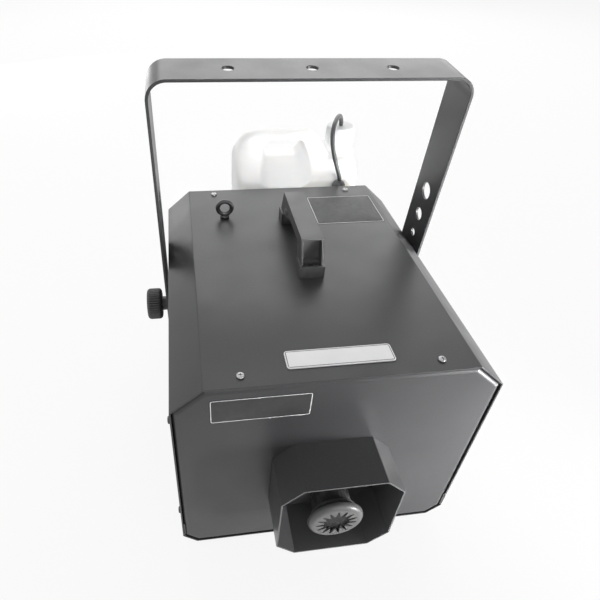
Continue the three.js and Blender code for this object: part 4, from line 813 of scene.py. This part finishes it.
COVER_HEAD, HANDLE_HEAD, DUCT_HEAD = (3.6 * MM, 2.1 * MM), (3.8 * MM, 2.4 * MM), (2.6 * MM, 1.6 * MM)
for end in ("front", "rear"):
    for side in ("left", "right"):
        add_screw(f"cover_screw_{end}_{side}", "z", *COVER_HEAD)
    add_screw(f"handle_screw_{end}", "z", *HANDLE_HEAD)
for level in ("low", "high"):
    add_screw(f"side_screw_left_{level}", "-x", *COVER_HEAD)
    add_screw(f"side_screw_right_{level}", "x", *COVER_HEAD)
for side, wall_x, axis in (("left", SHEET - DUCT_HALF, "x"), ("right", DUCT_HALF - SHEET, "-x")):
    duct_seat = np.array([wall_x, DUCT_LOW[1] + 9 * MM, DUCT_OUTLINE[2][1] - 8 * MM])
    head = piece(f"duct_screw_{side}", screw_surfaces(duct_seat, axis, *DUCT_HEAD), black_screw, edge=28)

# %% [markdown]
# The name plate is a thin white plate with rounded corners, left blank, with a narrow dark border line
# printed just inside its edge. Two dark stickers with a pale outline, also blank, sit on the front
# panel and at the back of the top.

# %% Plates and stickers
def rounded_box(low, high, corner, steps=8):
    """Corners of a rectangle turned on arcs, counter-clockwise."""
    (x0, y0), (x1, y1) = low, high
    return rounded([(x1, y0), (x1, y1), (x0, y1), (x0, y0)], corner, steps)


def inner_box(low, high, corner, margin, least):
    """Rounded rectangle a margin inside another, whose corners keep a least radius."""
    return rounded_box(np.add(low, margin), np.subtract(high, margin), max(corner - margin, least))


def plate_surface(low, high, corner, base, thickness, edge):
    """Rings of a rounded rectangle: up the side, round the edge, and in to the middle line."""
    turn = np.linspace(0, pi / 2, 5)
    stations = [(0, base)] + [(edge * (1 - cos(a)), base + thickness - edge * (1 - sin(a))) for a in turn]
    almost_middle = min(high[0] - low[0], high[1] - low[1]) / 2 * 0.98
    stations.append((almost_middle, base + thickness))
    grid = [at_height(inner_box(low, high, corner, distance, 0.02 * MM), height)
            for distance, height in stations]
    grid.append(np.tile(grid[-1].mean(0), (len(grid[-1]), 1)))
    return surface(np.array(grid), around=True)


def outline_surface(low, high, corner, height, margin, width):
    """Flat ring that follows a rounded rectangle, margin inside its edge."""
    ring = [at_height(inner_box(low, high, corner, distance, 0.3 * MM), height)
            for distance in (margin, margin + width)]
    return surface(np.array(ring), around=True)


plate_low, plate_high = np.array(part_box("name_plate"))
stand_in("name_plate", [plate_surface(
    plate_low[:2], plate_high[:2], 3 * MM, plate_low[2], plate_high[2] - plate_low[2], 0.4 * MM)])


def ink(name, dark, light, roughness):
    film = Finish(name, dark, roughness)
    film.drive("Base Color", tones(film, dark, light, 70))
    film.gloss(160, 4, roughness - 0.05, roughness + 0.08)
    film.bump(film.noise(1400, 2), 0.006 * MM)
    return film.material


dark_ink = ink("dark_ink", grey(0.030, 0.032), grey(0.045, 0.047), 0.35)
dark_film = ink("dark_film", grey(0.022, 0.023), grey(0.030, 0.031), 0.5)
pale_ink = ink("pale_ink", grey(0.66), grey(0.76), 0.45)
piece("name_plate_border", [outline_surface(
    plate_low[:2], plate_high[:2], 3 * MM, plate_high[2] + 0.05 * MM, 1.1 * MM, 0.6 * MM)], dark_ink)


def stood_up(surfaces, depth):
    """Turns surfaces drawn flat as (x, z) with a height into ones that face the front."""
    return [(np.column_stack([p[:, 0], depth - p[:, 2], p[:, 1]]), quads) for p, quads in surfaces]


def sticker(low, high):
    """Thin dark film and its pale outline, lying flat at height 0."""
    corner, film = 3 * MM, 0.12 * MM
    sheet = [plate_surface(low, high, corner, 0, film, 0.5 * film)]
    return sheet, [outline_surface(low, high, corner, film + 0.03 * MM, 1.0 * MM, 0.7 * MM)]


def raised(surfaces, height):
    """Surfaces lifted to a height."""
    return [(points + [0, 0, height], quads) for points, quads in surfaces]


sheet, line = sticker((-116.5 * MM, 223 * MM), (-27 * MM, 254 * MM))
piece("front_sticker", stood_up(sheet, FRONT), dark_film)
piece("front_sticker_outline", stood_up(line, FRONT), pale_ink)
sheet, line = sticker((31 * MM, REAR - 95 * MM), (117 * MM, REAR - 28 * MM))
piece("top_sticker", raised(sheet, TOP), dark_film)
piece("top_sticker_outline", raised(line, TOP), pale_ink)

# %% [markdown]
# The carry handle is one moulding: a flat grip between two raked legs whose ends are open pockets with
# the screws inside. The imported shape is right, so a softened copy of it is enough. The lifting eye is a
# ring that stands on a turned collar.

# %% Handle and lifting eye
softened("carry_handle", 0.5 * MM)


def torus_surface(centre, mean, bar, sides=64, round_sides=24):
    """Ring in the XZ plane: a small circle of radius bar carried round a circle of radius mean."""
    a = (np.arange(sides) * 2 * pi / sides)[:, None]
    b = (np.arange(round_sides + 1) * 2 * pi / round_sides)[None, :]
    reach = mean + bar * np.cos(b)
    points = np.stack([reach * np.cos(a), bar * np.sin(b) + 0 * a, reach * np.sin(a)], 2)
    return surface(np.concatenate([points, points[:1]]) + centre)


def eye_surfaces():
    low, high = np.array(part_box("lifting_eye"))
    outer, bar, collar = (high[0] - low[0]) / 2, 2.6 * MM, 5.6 * MM
    x, y = middle_of("lifting_eye")[:2]
    ring = torus_surface((x, y, high[2] - outer), outer - bar, bar)
    seat = TOP + GAP
    profile = [(0, seat), (collar, seat), (collar, seat + 2.6 * MM), (collar - 1 * MM, seat + 3.6 * MM),
               (collar - 2.6 * MM, seat + 4.6 * MM), (0, seat + 5 * MM)]
    return [ring, turned(softened_profile(profile, 0.4 * MM), (x, y, 0), sides=40)]


stand_in("lifting_eye", eye_surfaces())

# %% [markdown]
# The yoke is flat bar, drilled while flat and then bent into a tall U. The surface is made in the same
# way: it is drawn on the flat strip, where u is the length along the bar and v is across it, and one
# function folds the strip round the two bends and leans it back.

# %% Yoke sizes and bends
YOKE_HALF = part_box("yoke")[1][0]
BAR, BAR_HALF = 3 * MM, 26 * MM
YOKE_BEND, YOKE_LEG = 20 * MM, 300.5 * MM
YOKE_LEAN = radians(4.5)
LEG_STRAIGHT = YOKE_LEG - YOKE_BEND
TOP_STRAIGHT = 2 * (YOKE_HALF - YOKE_BEND)
BEND_LENGTH = YOKE_BEND * pi / 2
BAR_LENGTH = 2 * (LEG_STRAIGHT + BEND_LENGTH) + TOP_STRAIGHT
PIVOT_HOLE, END_LENGTH = 4.3 * MM, 14 * MM
LEG_HOLES = ((201.7 * MM, 5 * MM), (174 * MM, 7.75 * MM), (141.4 * MM, 10 * MM))
TOP_HOLE, TOP_HOLE_STEP = 6 * MM, 80 * MM
AROUND_HOLE = 4 * MM


def folded(u, v):
    """Folds the strip: up the right leg, a quarter circle, across the top, a quarter circle, down the
    left leg. u is 0 at the right pivot. The bar then leans back about the pivots."""
    middle = BAR_LENGTH / 2
    side = np.where(u < middle, 1.0, -1.0)
    s = np.minimum(u, BAR_LENGTH - u)
    angle = np.clip((s - LEG_STRAIGHT) / YOKE_BEND, 0, pi / 2)
    across = np.clip(s - LEG_STRAIGHT - BEND_LENGTH, 0, None)
    x = YOKE_HALF - YOKE_BEND * (1 - np.cos(angle)) - across
    z = np.minimum(s, LEG_STRAIGHT) + YOKE_BEND * np.sin(angle)
    return np.stack([side * x, PIVOT_Y + v * cos(YOKE_LEAN) - z * sin(YOKE_LEAN),
                     PIVOT_Z + z * cos(YOKE_LEAN) + v * sin(YOKE_LEAN)], -1)

# %% [markdown]
# The flat strip is covered by plain bands and by square patches, each with one round hole in its middle.
# A leg ends in a half circle round its pivot hole.

# %% Yoke, flat and drilled
YOKE_COLUMNS = 9


def holed_patch(start, end, centre, radius, rows=8):
    """Patch of the strip from start to end whose border shrinks on to a round hole at its centre."""
    v = np.linspace(-BAR_HALF, BAR_HALF, YOKE_COLUMNS)
    u = np.linspace(start, end, rows)
    low, high = np.full(YOKE_COLUMNS, start), np.full(YOKE_COLUMNS, end)
    border = np.concatenate([
        np.stack([low, v], 1)[:-1], np.stack([u, np.full(rows, BAR_HALF)], 1)[:-1],
        np.stack([high, v[::-1]], 1)[:-1], np.stack([u[::-1], np.full(rows, -BAR_HALF)], 1)[:-1]])
    return holed(border, centre, radius)


def holed(border, centre, radius):
    """Quads between a border and a circle; each circle point lies in the border point's direction."""
    angle = np.arctan2(border[:, 1], border[:, 0] - centre)
    hole = np.stack([centre + radius * np.cos(angle), radius * np.sin(angle)], 1)
    lip = hole + (border - hole) * (1.2 * MM / np.linalg.norm(border - hole, axis=1, keepdims=True))
    flat = np.stack([border, lip, hole])
    return surface(folded(flat[..., 0], flat[..., 1]), around=True)


def end_patch(start):
    """Rounded end of a leg, round its pivot hole: a half circle closed by a straight line."""
    away = 1 if start < BAR_LENGTH / 2 else -1
    turn = np.linspace(pi / 2, 3 * pi / 2, 24)
    half_circle = np.stack([start + away * BAR_HALF * np.cos(turn), BAR_HALF * np.sin(turn)], 1)
    v = np.linspace(-BAR_HALF, BAR_HALF, YOKE_COLUMNS)
    line = np.stack([np.full(YOKE_COLUMNS, start + away * END_LENGTH), v], 1)
    return holed(np.concatenate([half_circle, line]), start, PIVOT_HOLE)


def band(start, end):
    """Plain stretch of the strip, with rows close together so that it can fold."""
    u = np.linspace(start, end, max(2, int((end - start) / (4 * MM)) + 1))
    v = np.linspace(-BAR_HALF, BAR_HALF, YOKE_COLUMNS)
    flat_u, flat_v = np.meshgrid(u, v, indexing="ij")
    return surface(folded(flat_u, flat_v))


def yoke_surfaces():
    """The right leg's holes, mirrored on the left leg, and three holes along the top."""
    leg = [(YOKE_LEG - below, radius) for below, radius in LEG_HOLES]
    top = [(BAR_LENGTH / 2 + step * TOP_HOLE_STEP, TOP_HOLE) for step in (-1, 0, 1)]
    holes = leg + top + [(BAR_LENGTH - u, radius) for u, radius in leg[::-1]]
    parts = [end_patch(0.0), end_patch(BAR_LENGTH)]
    reached = END_LENGTH
    for u, radius in holes:
        reach = radius + AROUND_HOLE
        parts.append(band(reached, u - reach))
        parts.append(holed_patch(u - reach, u + reach, u, radius))
        reached = u + reach
    parts.append(band(reached, BAR_LENGTH - END_LENGTH))
    return parts


stand_in("yoke", yoke_surfaces(), wall=BAR, bevel=0.45 * MM)

# %% [markdown]
# The knobs and the jug's cap are ribbed turnings. The rib is a wave added to the radius, strong on the
# grip and faded out towards the rounded rims, so the grid stays a plain surface of revolution.

# %% Knobs and washers
def ribbed(profile, depths, ribs, centre, axis="z", flip=1):
    """Turned profile whose radius dips by depths between ribs, six columns to a rib; the wave is squared
    so that the ridges are broad and the grooves narrow."""
    profile, depths = np.asarray(profile, float), np.asarray(depths, float)
    angle = np.arange(ribs * 6) * 2 * pi / (ribs * 6)
    wave = (0.5 - 0.5 * np.cos(ribs * angle)) ** 2
    radius = profile[:, :1] - depths[:, None] * wave
    first, second, along = AXES[axis]
    points = np.zeros((len(profile), len(angle), 3))
    points[:, :, first], points[:, :, second] = radius * np.cos(angle), radius * np.sin(angle)
    points[:, :, along] = flip * profile[:, 1:]
    return surface(points + np.asarray(centre), around=True)


def knob_surfaces(side):
    """Stud, collar and grip in one profile of (radius, distance from the middle)."""
    thickness, collar_length = 19 * MM, 6.6 * MM
    radius, collar, stud, rim, groove = 20 * MM, 9 * MM, 4 * MM, 4.4 * MM, 1.1 * MM
    inside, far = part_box("knob_right")[0][0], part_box("knob_right")[1][0]
    near = far - thickness
    seat = near - collar_length
    turn = np.linspace(0, pi / 2, 6)
    shaft = [(0, inside), (stud, inside), (stud, seat), (collar - 0.6 * MM, seat),
             (collar, seat + 0.6 * MM), (collar, near), (radius - rim, near)]
    low_rim = [(radius - rim + rim * sin(a), near + rim * (1 - cos(a))) for a in turn[1:]]
    high_rim = [(radius - rim + rim * cos(a), far - rim * (1 - sin(a))) for a in turn]
    face = [(radius - 5.6 * MM, far), (radius - 6.2 * MM, far - 0.6 * MM), (7 * MM, far - 0.8 * MM),
            (6.4 * MM, far - 0.4 * MM), (0, far - 0.2 * MM)]
    profile = shaft + low_rim + high_rim + face
    depth = [0] * len(shaft) + [groove * sin(a) for a in turn[1:]] + [groove * cos(a) for a in turn]
    depth += [0] * len(face)
    return [ribbed(profile, depth, 40, (0, PIVOT_Y, PIVOT_Z), "x", flip=side)]


WASHER_HOLE, WASHER_RADIUS = 4.4 * MM, 15 * MM
for name, side in (("left", -1), ("right", 1)):
    stand_in(f"knob_{name}", knob_surfaces(side), edge=40)
    low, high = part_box(f"pivot_washer_{name}")
    disc = [(WASHER_HOLE, low[0]), (WASHER_RADIUS, low[0]), (WASHER_RADIUS, high[0]),
            (WASHER_HOLE, high[0]), (WASHER_HOLE, low[0])]
    stand_in(f"pivot_washer_{name}", [turned(
        softened_profile(disc, 0.7 * MM), (0, PIVOT_Y, PIVOT_Z), "x", sides=56)])

# %% [markdown]
# Four rubber feet stand under the pan. Each is a turned bumper with a hollow under its middle.

# %% Feet
def foot_profile():
    return [(0, 3 * MM), (4 * MM, 3 * MM), (4.6 * MM, 0.3 * MM), (5.2 * MM, 0), (9.6 * MM, 0),
            (10.5 * MM, 0.8 * MM), (11 * MM, BASE - GAP), (0, BASE - GAP)]


for node in [f"foot_{end}_{side}" for end in ("front", "rear") for side in ("left", "right")]:
    x, y = middle_of(node)[:2]
    stand_in(node, [turned(softened_profile(foot_profile(), 0.25 * MM), (x, y, 0), sides=40)])

# %% [markdown]
# The jug is blow-moulded: everything on it flows into everything else. Its body and neck are closed
# surfaces that overlap, and the finger hole is a tunnel taken out of them. All are melted into one skin
# on a fine grid and smoothed, which gives the soft blends that a mould gives.

# %% Fluid can
CAN_LOW, CAN_HIGH = np.array(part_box("fluid_can"))
CAN_Y = middle_of("fluid_can")[1]
NECK_X, NECK_Y = middle_of("can_cap")[:2]


def melted(name, surfaces, cutter, cell, smoothing):
    """Takes a cutter out of overlapping closed surfaces, melts them into one skin of square cells and
    smooths it."""
    parts, carver = [new_object(each, make_mesh(each, grids))
                     for each, grids in ((name, surfaces), (f"{name}_cutter", cutter))]
    carve = parts.modifiers.new("carve", "BOOLEAN")
    carve.operation, carve.solver, carve.object, carve.use_self = "DIFFERENCE", "EXACT", carver, True
    remesh = parts.modifiers.new("melt", "REMESH")
    remesh.mode, remesh.voxel_size = "VOXEL", cell
    smooth = parts.modifiers.new("smooth", "SMOOTH")
    smooth.factor, smooth.iterations = 0.5, smoothing
    solid = bpy.data.meshes.new_from_object(parts.evaluated_get(bpy.context.evaluated_depsgraph_get()))
    bpy.data.objects.remove(parts)
    bpy.data.objects.remove(carver)
    solid.name = name
    return solid


CROWN = CAN_HIGH[2] / MM
GROOVE_HEIGHTS, GROOVE = (100, 205), ((-4, 0), (-2, 0.9), (2, 0.9), (4, 0))
RIGHT_SIDE = [(275, 123), (279, 121.5), (281, 118), (282, 112),
              (282.4, 84), (302, 70), (310, 65), (CROWN, 56)]
HALF_DEPTH = [(256, 61), (262, 60), (268, 55), (295, 21), (302, 13.5), (307, 12.8), (311, 10), (CROWN, 5)]


def read_off(curve, z):
    """Values at the heights z of a curve given as (height, value) points in millimetres."""
    heights, values = np.array(curve).T * MM
    return np.interp(z, heights, values)


def jug_surface():
    """Rounded rectangles stacked from the floor to the crown. The heel and the left end of the crown are
    arcs, and two shallow grooves run round the body. Above the eaves the faces slope in to the ridge,
    and the right side steps back past the neck."""
    left, right, half = CAN_LOW[0], CAN_HIGH[0], (CAN_HIGH[1] - CAN_LOW[1]) / 2
    floor, crown = CAN_LOW[2], CAN_HIGH[2]
    heel, corner, crown_arc = 10 * MM, 22 * MM, 34 * MM
    levels = [(floor + heel * (1 - cos(a)), heel * (1 - sin(a))) for a in np.linspace(0, pi / 2, 6)]
    levels += [(middle * MM + away * MM, sunk * MM) for middle in GROOVE_HEIGHTS for away, sunk in GROOVE]
    stations = [(z, left + inwards, right - inwards, half - inwards) for z, inwards in levels]
    z = np.array([256, 262, 268, 275, 279, 281, 282, 282.4, 287, 292, 297, 302, 307, 310, 312, CROWN]) * MM
    up_the_arc = np.clip(z - (crown - crown_arc), 0, crown_arc)
    left_side = left + crown_arc - np.sqrt(crown_arc ** 2 - up_the_arc ** 2)
    stations += list(zip(z, left_side, read_off(RIGHT_SIDE, z), read_off(HALF_DEPTH, z)))
    return capped([
        at_height(rounded_box((x0, CAN_Y - reach), (x1, CAN_Y + reach), min(corner, 0.85 * reach)), height)
        for height, x0, x1, reach in stations])


def scoop_surface():
    """Tunnel for the fingers, front to back: its outline grows and sinks towards the jug's faces."""
    hole = np.array([(36, 280), (47, 291), (47, 302.5), (-10, 302.5), (-10, 280)]) * MM
    radii = np.array([9, 5, 4, 7, 6]) * MM
    one_side = [(11, 0, 0), (26, 4, 3), (75, 18, 16)]
    grid = []
    for offset, grow, drop in [(-away, grow, drop) for away, grow, drop in one_side[::-1]] + one_side:
        ring = along_y(rounded(inset(hole, -grow * MM), radii + grow * MM, 6), CAN_Y + offset * MM)
        grid.append(ring - [0, 0, drop * MM])
    return capped(grid)


def can_neck():
    """Neck and its shoulder cone, turned about the cap's axis."""
    profile = np.array([(0, 255), (24, 255), (23, 281), (19.5, 287), (17, 291), (17, 306.5), (0, 306.5)])
    return turned(profile * MM, (NECK_X, NECK_Y, 0))


MELT_CELL, MELT_SMOOTHING = 1.7 * MM, 5
jug_parts = [jug_surface(), can_neck()]
jug_skin = melted("fluid_can_piece", jug_parts, [scoop_surface()], MELT_CELL, MELT_SMOOTHING)
stand_in("fluid_can", jug_skin, edge=60)

# %% [markdown]
# The cap screws over the neck. It has broad grip ribs, a domed edge and a hole where the hose goes
# down through it. Its inside is left as a plain cup.

# %% Cap
def cap_surfaces():
    low, high = np.array(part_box("can_cap"))
    radius, bore, hose_hole = (high[0] - low[0]) / 2, 17.6 * MM, 3.4 * MM
    edge, groove, lid = 2.6 * MM, 0.9 * MM, 2 * MM
    turn = np.linspace(0, pi / 2, 6)
    shell = [(bore, low[2]), (radius - 0.4 * MM, low[2]), (radius, low[2] + 0.5 * MM),
             (radius, low[2] + 3 * MM), (radius, high[2] - 6 * MM)]
    crown = [(radius - groove - edge * (1 - cos(a)), high[2] - edge * (1 - sin(a))) for a in turn]
    inner = [(hose_hole, high[2]), (hose_hole, high[2] - lid), (bore, high[2] - lid), (bore, low[2])]
    profile = shell + crown + inner
    depth = [0, 0, 0, groove, groove] + [0] * (len(crown) + len(inner))
    return [ribbed(profile, depth, 32, (NECK_X, NECK_Y, 0))]


stand_in("can_cap", cap_surfaces(), edge=40)

# %% [markdown]
# The elbow that passes the hose through the rear panel is a domed fitting with a hexagon behind it.
# The level dial is a small turned knob with a ribbed grip. The gauze behind the nozzle is woven wire: a
# plain disc whose finish draws the fine net, with the openings between the wires painted near black as
# painted shade for the dark pipe behind.

# %% Elbow, dial and gauze
def rod(radius, front, back, centre, sides):
    """Plain rod along Y."""
    return turned([(0, front), (radius, front), (radius, back), (0, back)], centre, "y", sides)


def elbow_surfaces():
    x, y, top = middle_of("hose_elbow")[0], HOSE_ROUTE[0][1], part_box("hose_elbow")[1][2]
    axis_z = top - 16 * MM
    dome, collar = 9.2 * MM, 7 * MM
    profile = [(0, axis_z - 7 * MM), (collar - 2 * MM, axis_z - 7 * MM), (collar, axis_z - 4 * MM),
               (dome, axis_z + 4 * MM), (dome, top - 6 * MM), (collar, top - 2 * MM), (4.6 * MM, top),
               (0, top)]
    upright = turned(softened_profile(profile, 1.1 * MM), (x, y, 0), sides=40)
    stem = rod(5 * MM, REAR - 14 * MM, y, (x, 0, axis_z), 32)
    hexagon = rod(dome, REAR + GAP, REAR + 4 * MM, (x, 0, axis_z), 6)
    return [upright, stem, hexagon]


def dial_surfaces():
    low, high = np.array(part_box("level_dial"))
    centre = middle_of("level_dial") * [1, 0, 1]
    radius, far = 10 * MM, high[1]
    near = far - 10.5 * MM
    profile = [(0, low[1]), (3 * MM, low[1]), (3 * MM, near), (radius, near), (radius, near + 1.5 * MM),
               (radius - 0.3 * MM, far - 3 * MM), (radius - 1 * MM, far - 0.8 * MM),
               (radius - 2 * MM, far), (0, far)]
    groove = 0.7 * MM
    depth = [0, 0, 0, 0, 0, groove, groove, 0, 0]
    return [ribbed(profile, depth, 24, centre, "y")]


def wire_net(name):
    """Wires on a near-black ground, painted shade for the dark pipe seen through the openings: two sets of
    waves across X and Z, strongest on the wires.
    """
    net = Finish(name, grey(0.012), 0.6, Metallic=0.4)
    cell = 1.6 * MM
    axes = net.node("SeparateXYZ", {0: net.place})
    waves = [net.combined(axes.outputs[axis], pi / cell) for axis in ("X", "Z")]
    lines = [net.node("Math", {0: wave}, operation="SINE").outputs[0] for wave in waves]
    lines = [net.ranged(net.node("Math", {0: line}, operation="ABSOLUTE").outputs[0], 0.25, 0.4, 1, 0)
             for line in lines]
    wire = net.combined(lines[0], lines[1], "MAXIMUM")
    dulled = net.combined(wire, net.ranged(net.noise(400, 3), 0.3, 0.7, 0.5, 1))
    # The ground between the wires is painted shade: near black, as the dark pipe seen through the
    # openings.
    net.drive("Base Color", net.mixed(dulled, grey(0.004), grey(0.055)))
    net.gloss(300, 3, 0.4, 0.6)
    net.bump(wire, 0.3 * MM)
    return net.material


stand_in("hose_elbow", elbow_surfaces(), edge=32)
stand_in("level_dial", dial_surfaces(), edge=35)
gauze_low, gauze_high = np.array(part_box("nozzle_gauze"))
gauze = rod((gauze_high[0] - gauze_low[0]) / 2, gauze_low[1], gauze_high[1], (NOZZLE_X, 0, NOZZLE_Z), 48)
stand_in("nozzle_gauze", [gauze], material=wire_net("wire_net"))

# %% [markdown]
# The machine stands on a plain white floor. Its paint is lifted to the backdrop's white only where the
# floor is seen, straight or in a reflection, so it throws no extra light and keeps the shadow.

# %% Floor
def floor_material():
    """White floor that keeps the machine's shadow; seen straight or in a reflection it is lifted to
    the white of the backdrop."""
    floor = Finish("floor", grey(0.86), 0.9)
    floor.drive("Base Color", tones(floor, grey(0.855), grey(0.865), 3))
    rays = floor.node("LightPath")
    seen = floor.combined(rays.outputs["Is Camera Ray"], rays.outputs["Is Glossy Ray"], "MAXIMUM")
    seen = floor.combined(seen, rays.outputs["Is Transmission Ray"], "MAXIMUM")
    share = floor.combined(seen, 0.88)
    glow = floor.node("Emission", {"Color": (1, 1, 1, 1), "Strength": 1.0})
    mix = floor.node("MixShader", {0: share, 1: floor.shader.outputs[0], 2: glow.outputs[0]})
    output = floor.tree.nodes["Material Output"]
    floor.tree.links.new(mix.outputs[0], output.inputs["Surface"])
    return floor.material


def add_floor():
    reach, back = 8.0, 5.0
    corners = np.array([[[-reach, -reach, 0], [reach, -reach, 0]], [[-reach, back, 0], [reach, back, 0]]])
    mesh = make_mesh("floor", [surface(corners)])
    mesh.materials.append(floor_material())
    new_object("floor", mesh)


add_floor()

# %% [markdown]
# The light is soft. A big lamp above and behind gives the satin top its sheen, and two weak ones at the
# rear left draw the long bevel there. Two low lamps at the front right lift that half of the front
# panel, and the duct keeps the nearer one from the other half. A weak lamp in front, one at the left and
# a narrow beam on the pale jug fill the darks, and a white world does the rest.

# %% Lamps and world
def add_lamp(name, place, target, size, power, spread=pi):
    """Square area lamp at a place, facing a target; a small spread gathers its light to a beam."""
    data = bpy.data.lights.new(name, "AREA")
    data.shape, data.size, data.energy, data.spread = "SQUARE", size, power, spread
    lamp = new_object(name, data)
    lamp.visible_camera = False
    away = Vector(place) - Vector(target)
    lamp.matrix_world = Matrix.Translation(place) @ away.to_track_quat("Z", "Y").to_matrix().to_4x4()
    return lamp


def set_world():
    """White world: strength 1 where it is seen or mirrored, and a soft fill where it lights."""
    world = bpy.data.worlds.new("studio")
    world.use_nodes = True
    bpy.context.scene.world = world
    nodes, links = world.node_tree.nodes, world.node_tree.links
    rays = nodes.new("ShaderNodeLightPath")
    seen = rays.outputs["Is Camera Ray"]
    for kind in ("Is Transmission Ray", "Is Glossy Ray"):
        either = nodes.new("ShaderNodeMath")
        either.operation = "MAXIMUM"
        links.new(seen, either.inputs[0])
        links.new(rays.outputs[kind], either.inputs[1])
        seen = either.outputs[0]
    strength = nodes.new("ShaderNodeMapRange")
    links.new(seen, strength.inputs["Value"])
    strength.inputs["To Min"].default_value = 0.40
    strength.inputs["To Max"].default_value = 1.0
    background = nodes["Background"]
    background.inputs["Color"].default_value = (1, 1, 1, 1)
    links.new(strength.outputs[0], background.inputs["Strength"])


set_world()
middle, front_right_edge = (0, 0, 0.2), (0.23, -0.13, 0.13)
jug_shoulder = middle_of("fluid_can") + np.array((0, 0, 0.1))
add_lamp("top_back_lamp", (0.5, 2.4, 1.9), middle, 3.0, 53)
add_lamp("rear_left_lamp", (-1.5, 2.2, 0.8), middle, 1.2, 1.5)
add_lamp("low_rear_lamp", (-0.8, 1.7, 0.15), middle, 0.5, 2.5)
add_lamp("front_right_lamp", (1.5, -1.5, 0.45), middle, 1.2, 3)
add_lamp("near_front_lamp", (0.68, -0.58, 0.1), front_right_edge, 0.3, 3.2, radians(40))
add_lamp("front_fill_lamp", (0.1, -1.6, 1.0), middle, 0.8, 3)
add_lamp("left_lamp", (-1.8, 0.2, 1.6), middle, 1.4, 8)
add_lamp("jug_lamp", (0.05, -1.1, 1.15), jug_shoulder, 0.15, 0.12, radians(16))
bpy.context.scene.view_settings.view_transform = "Standard"
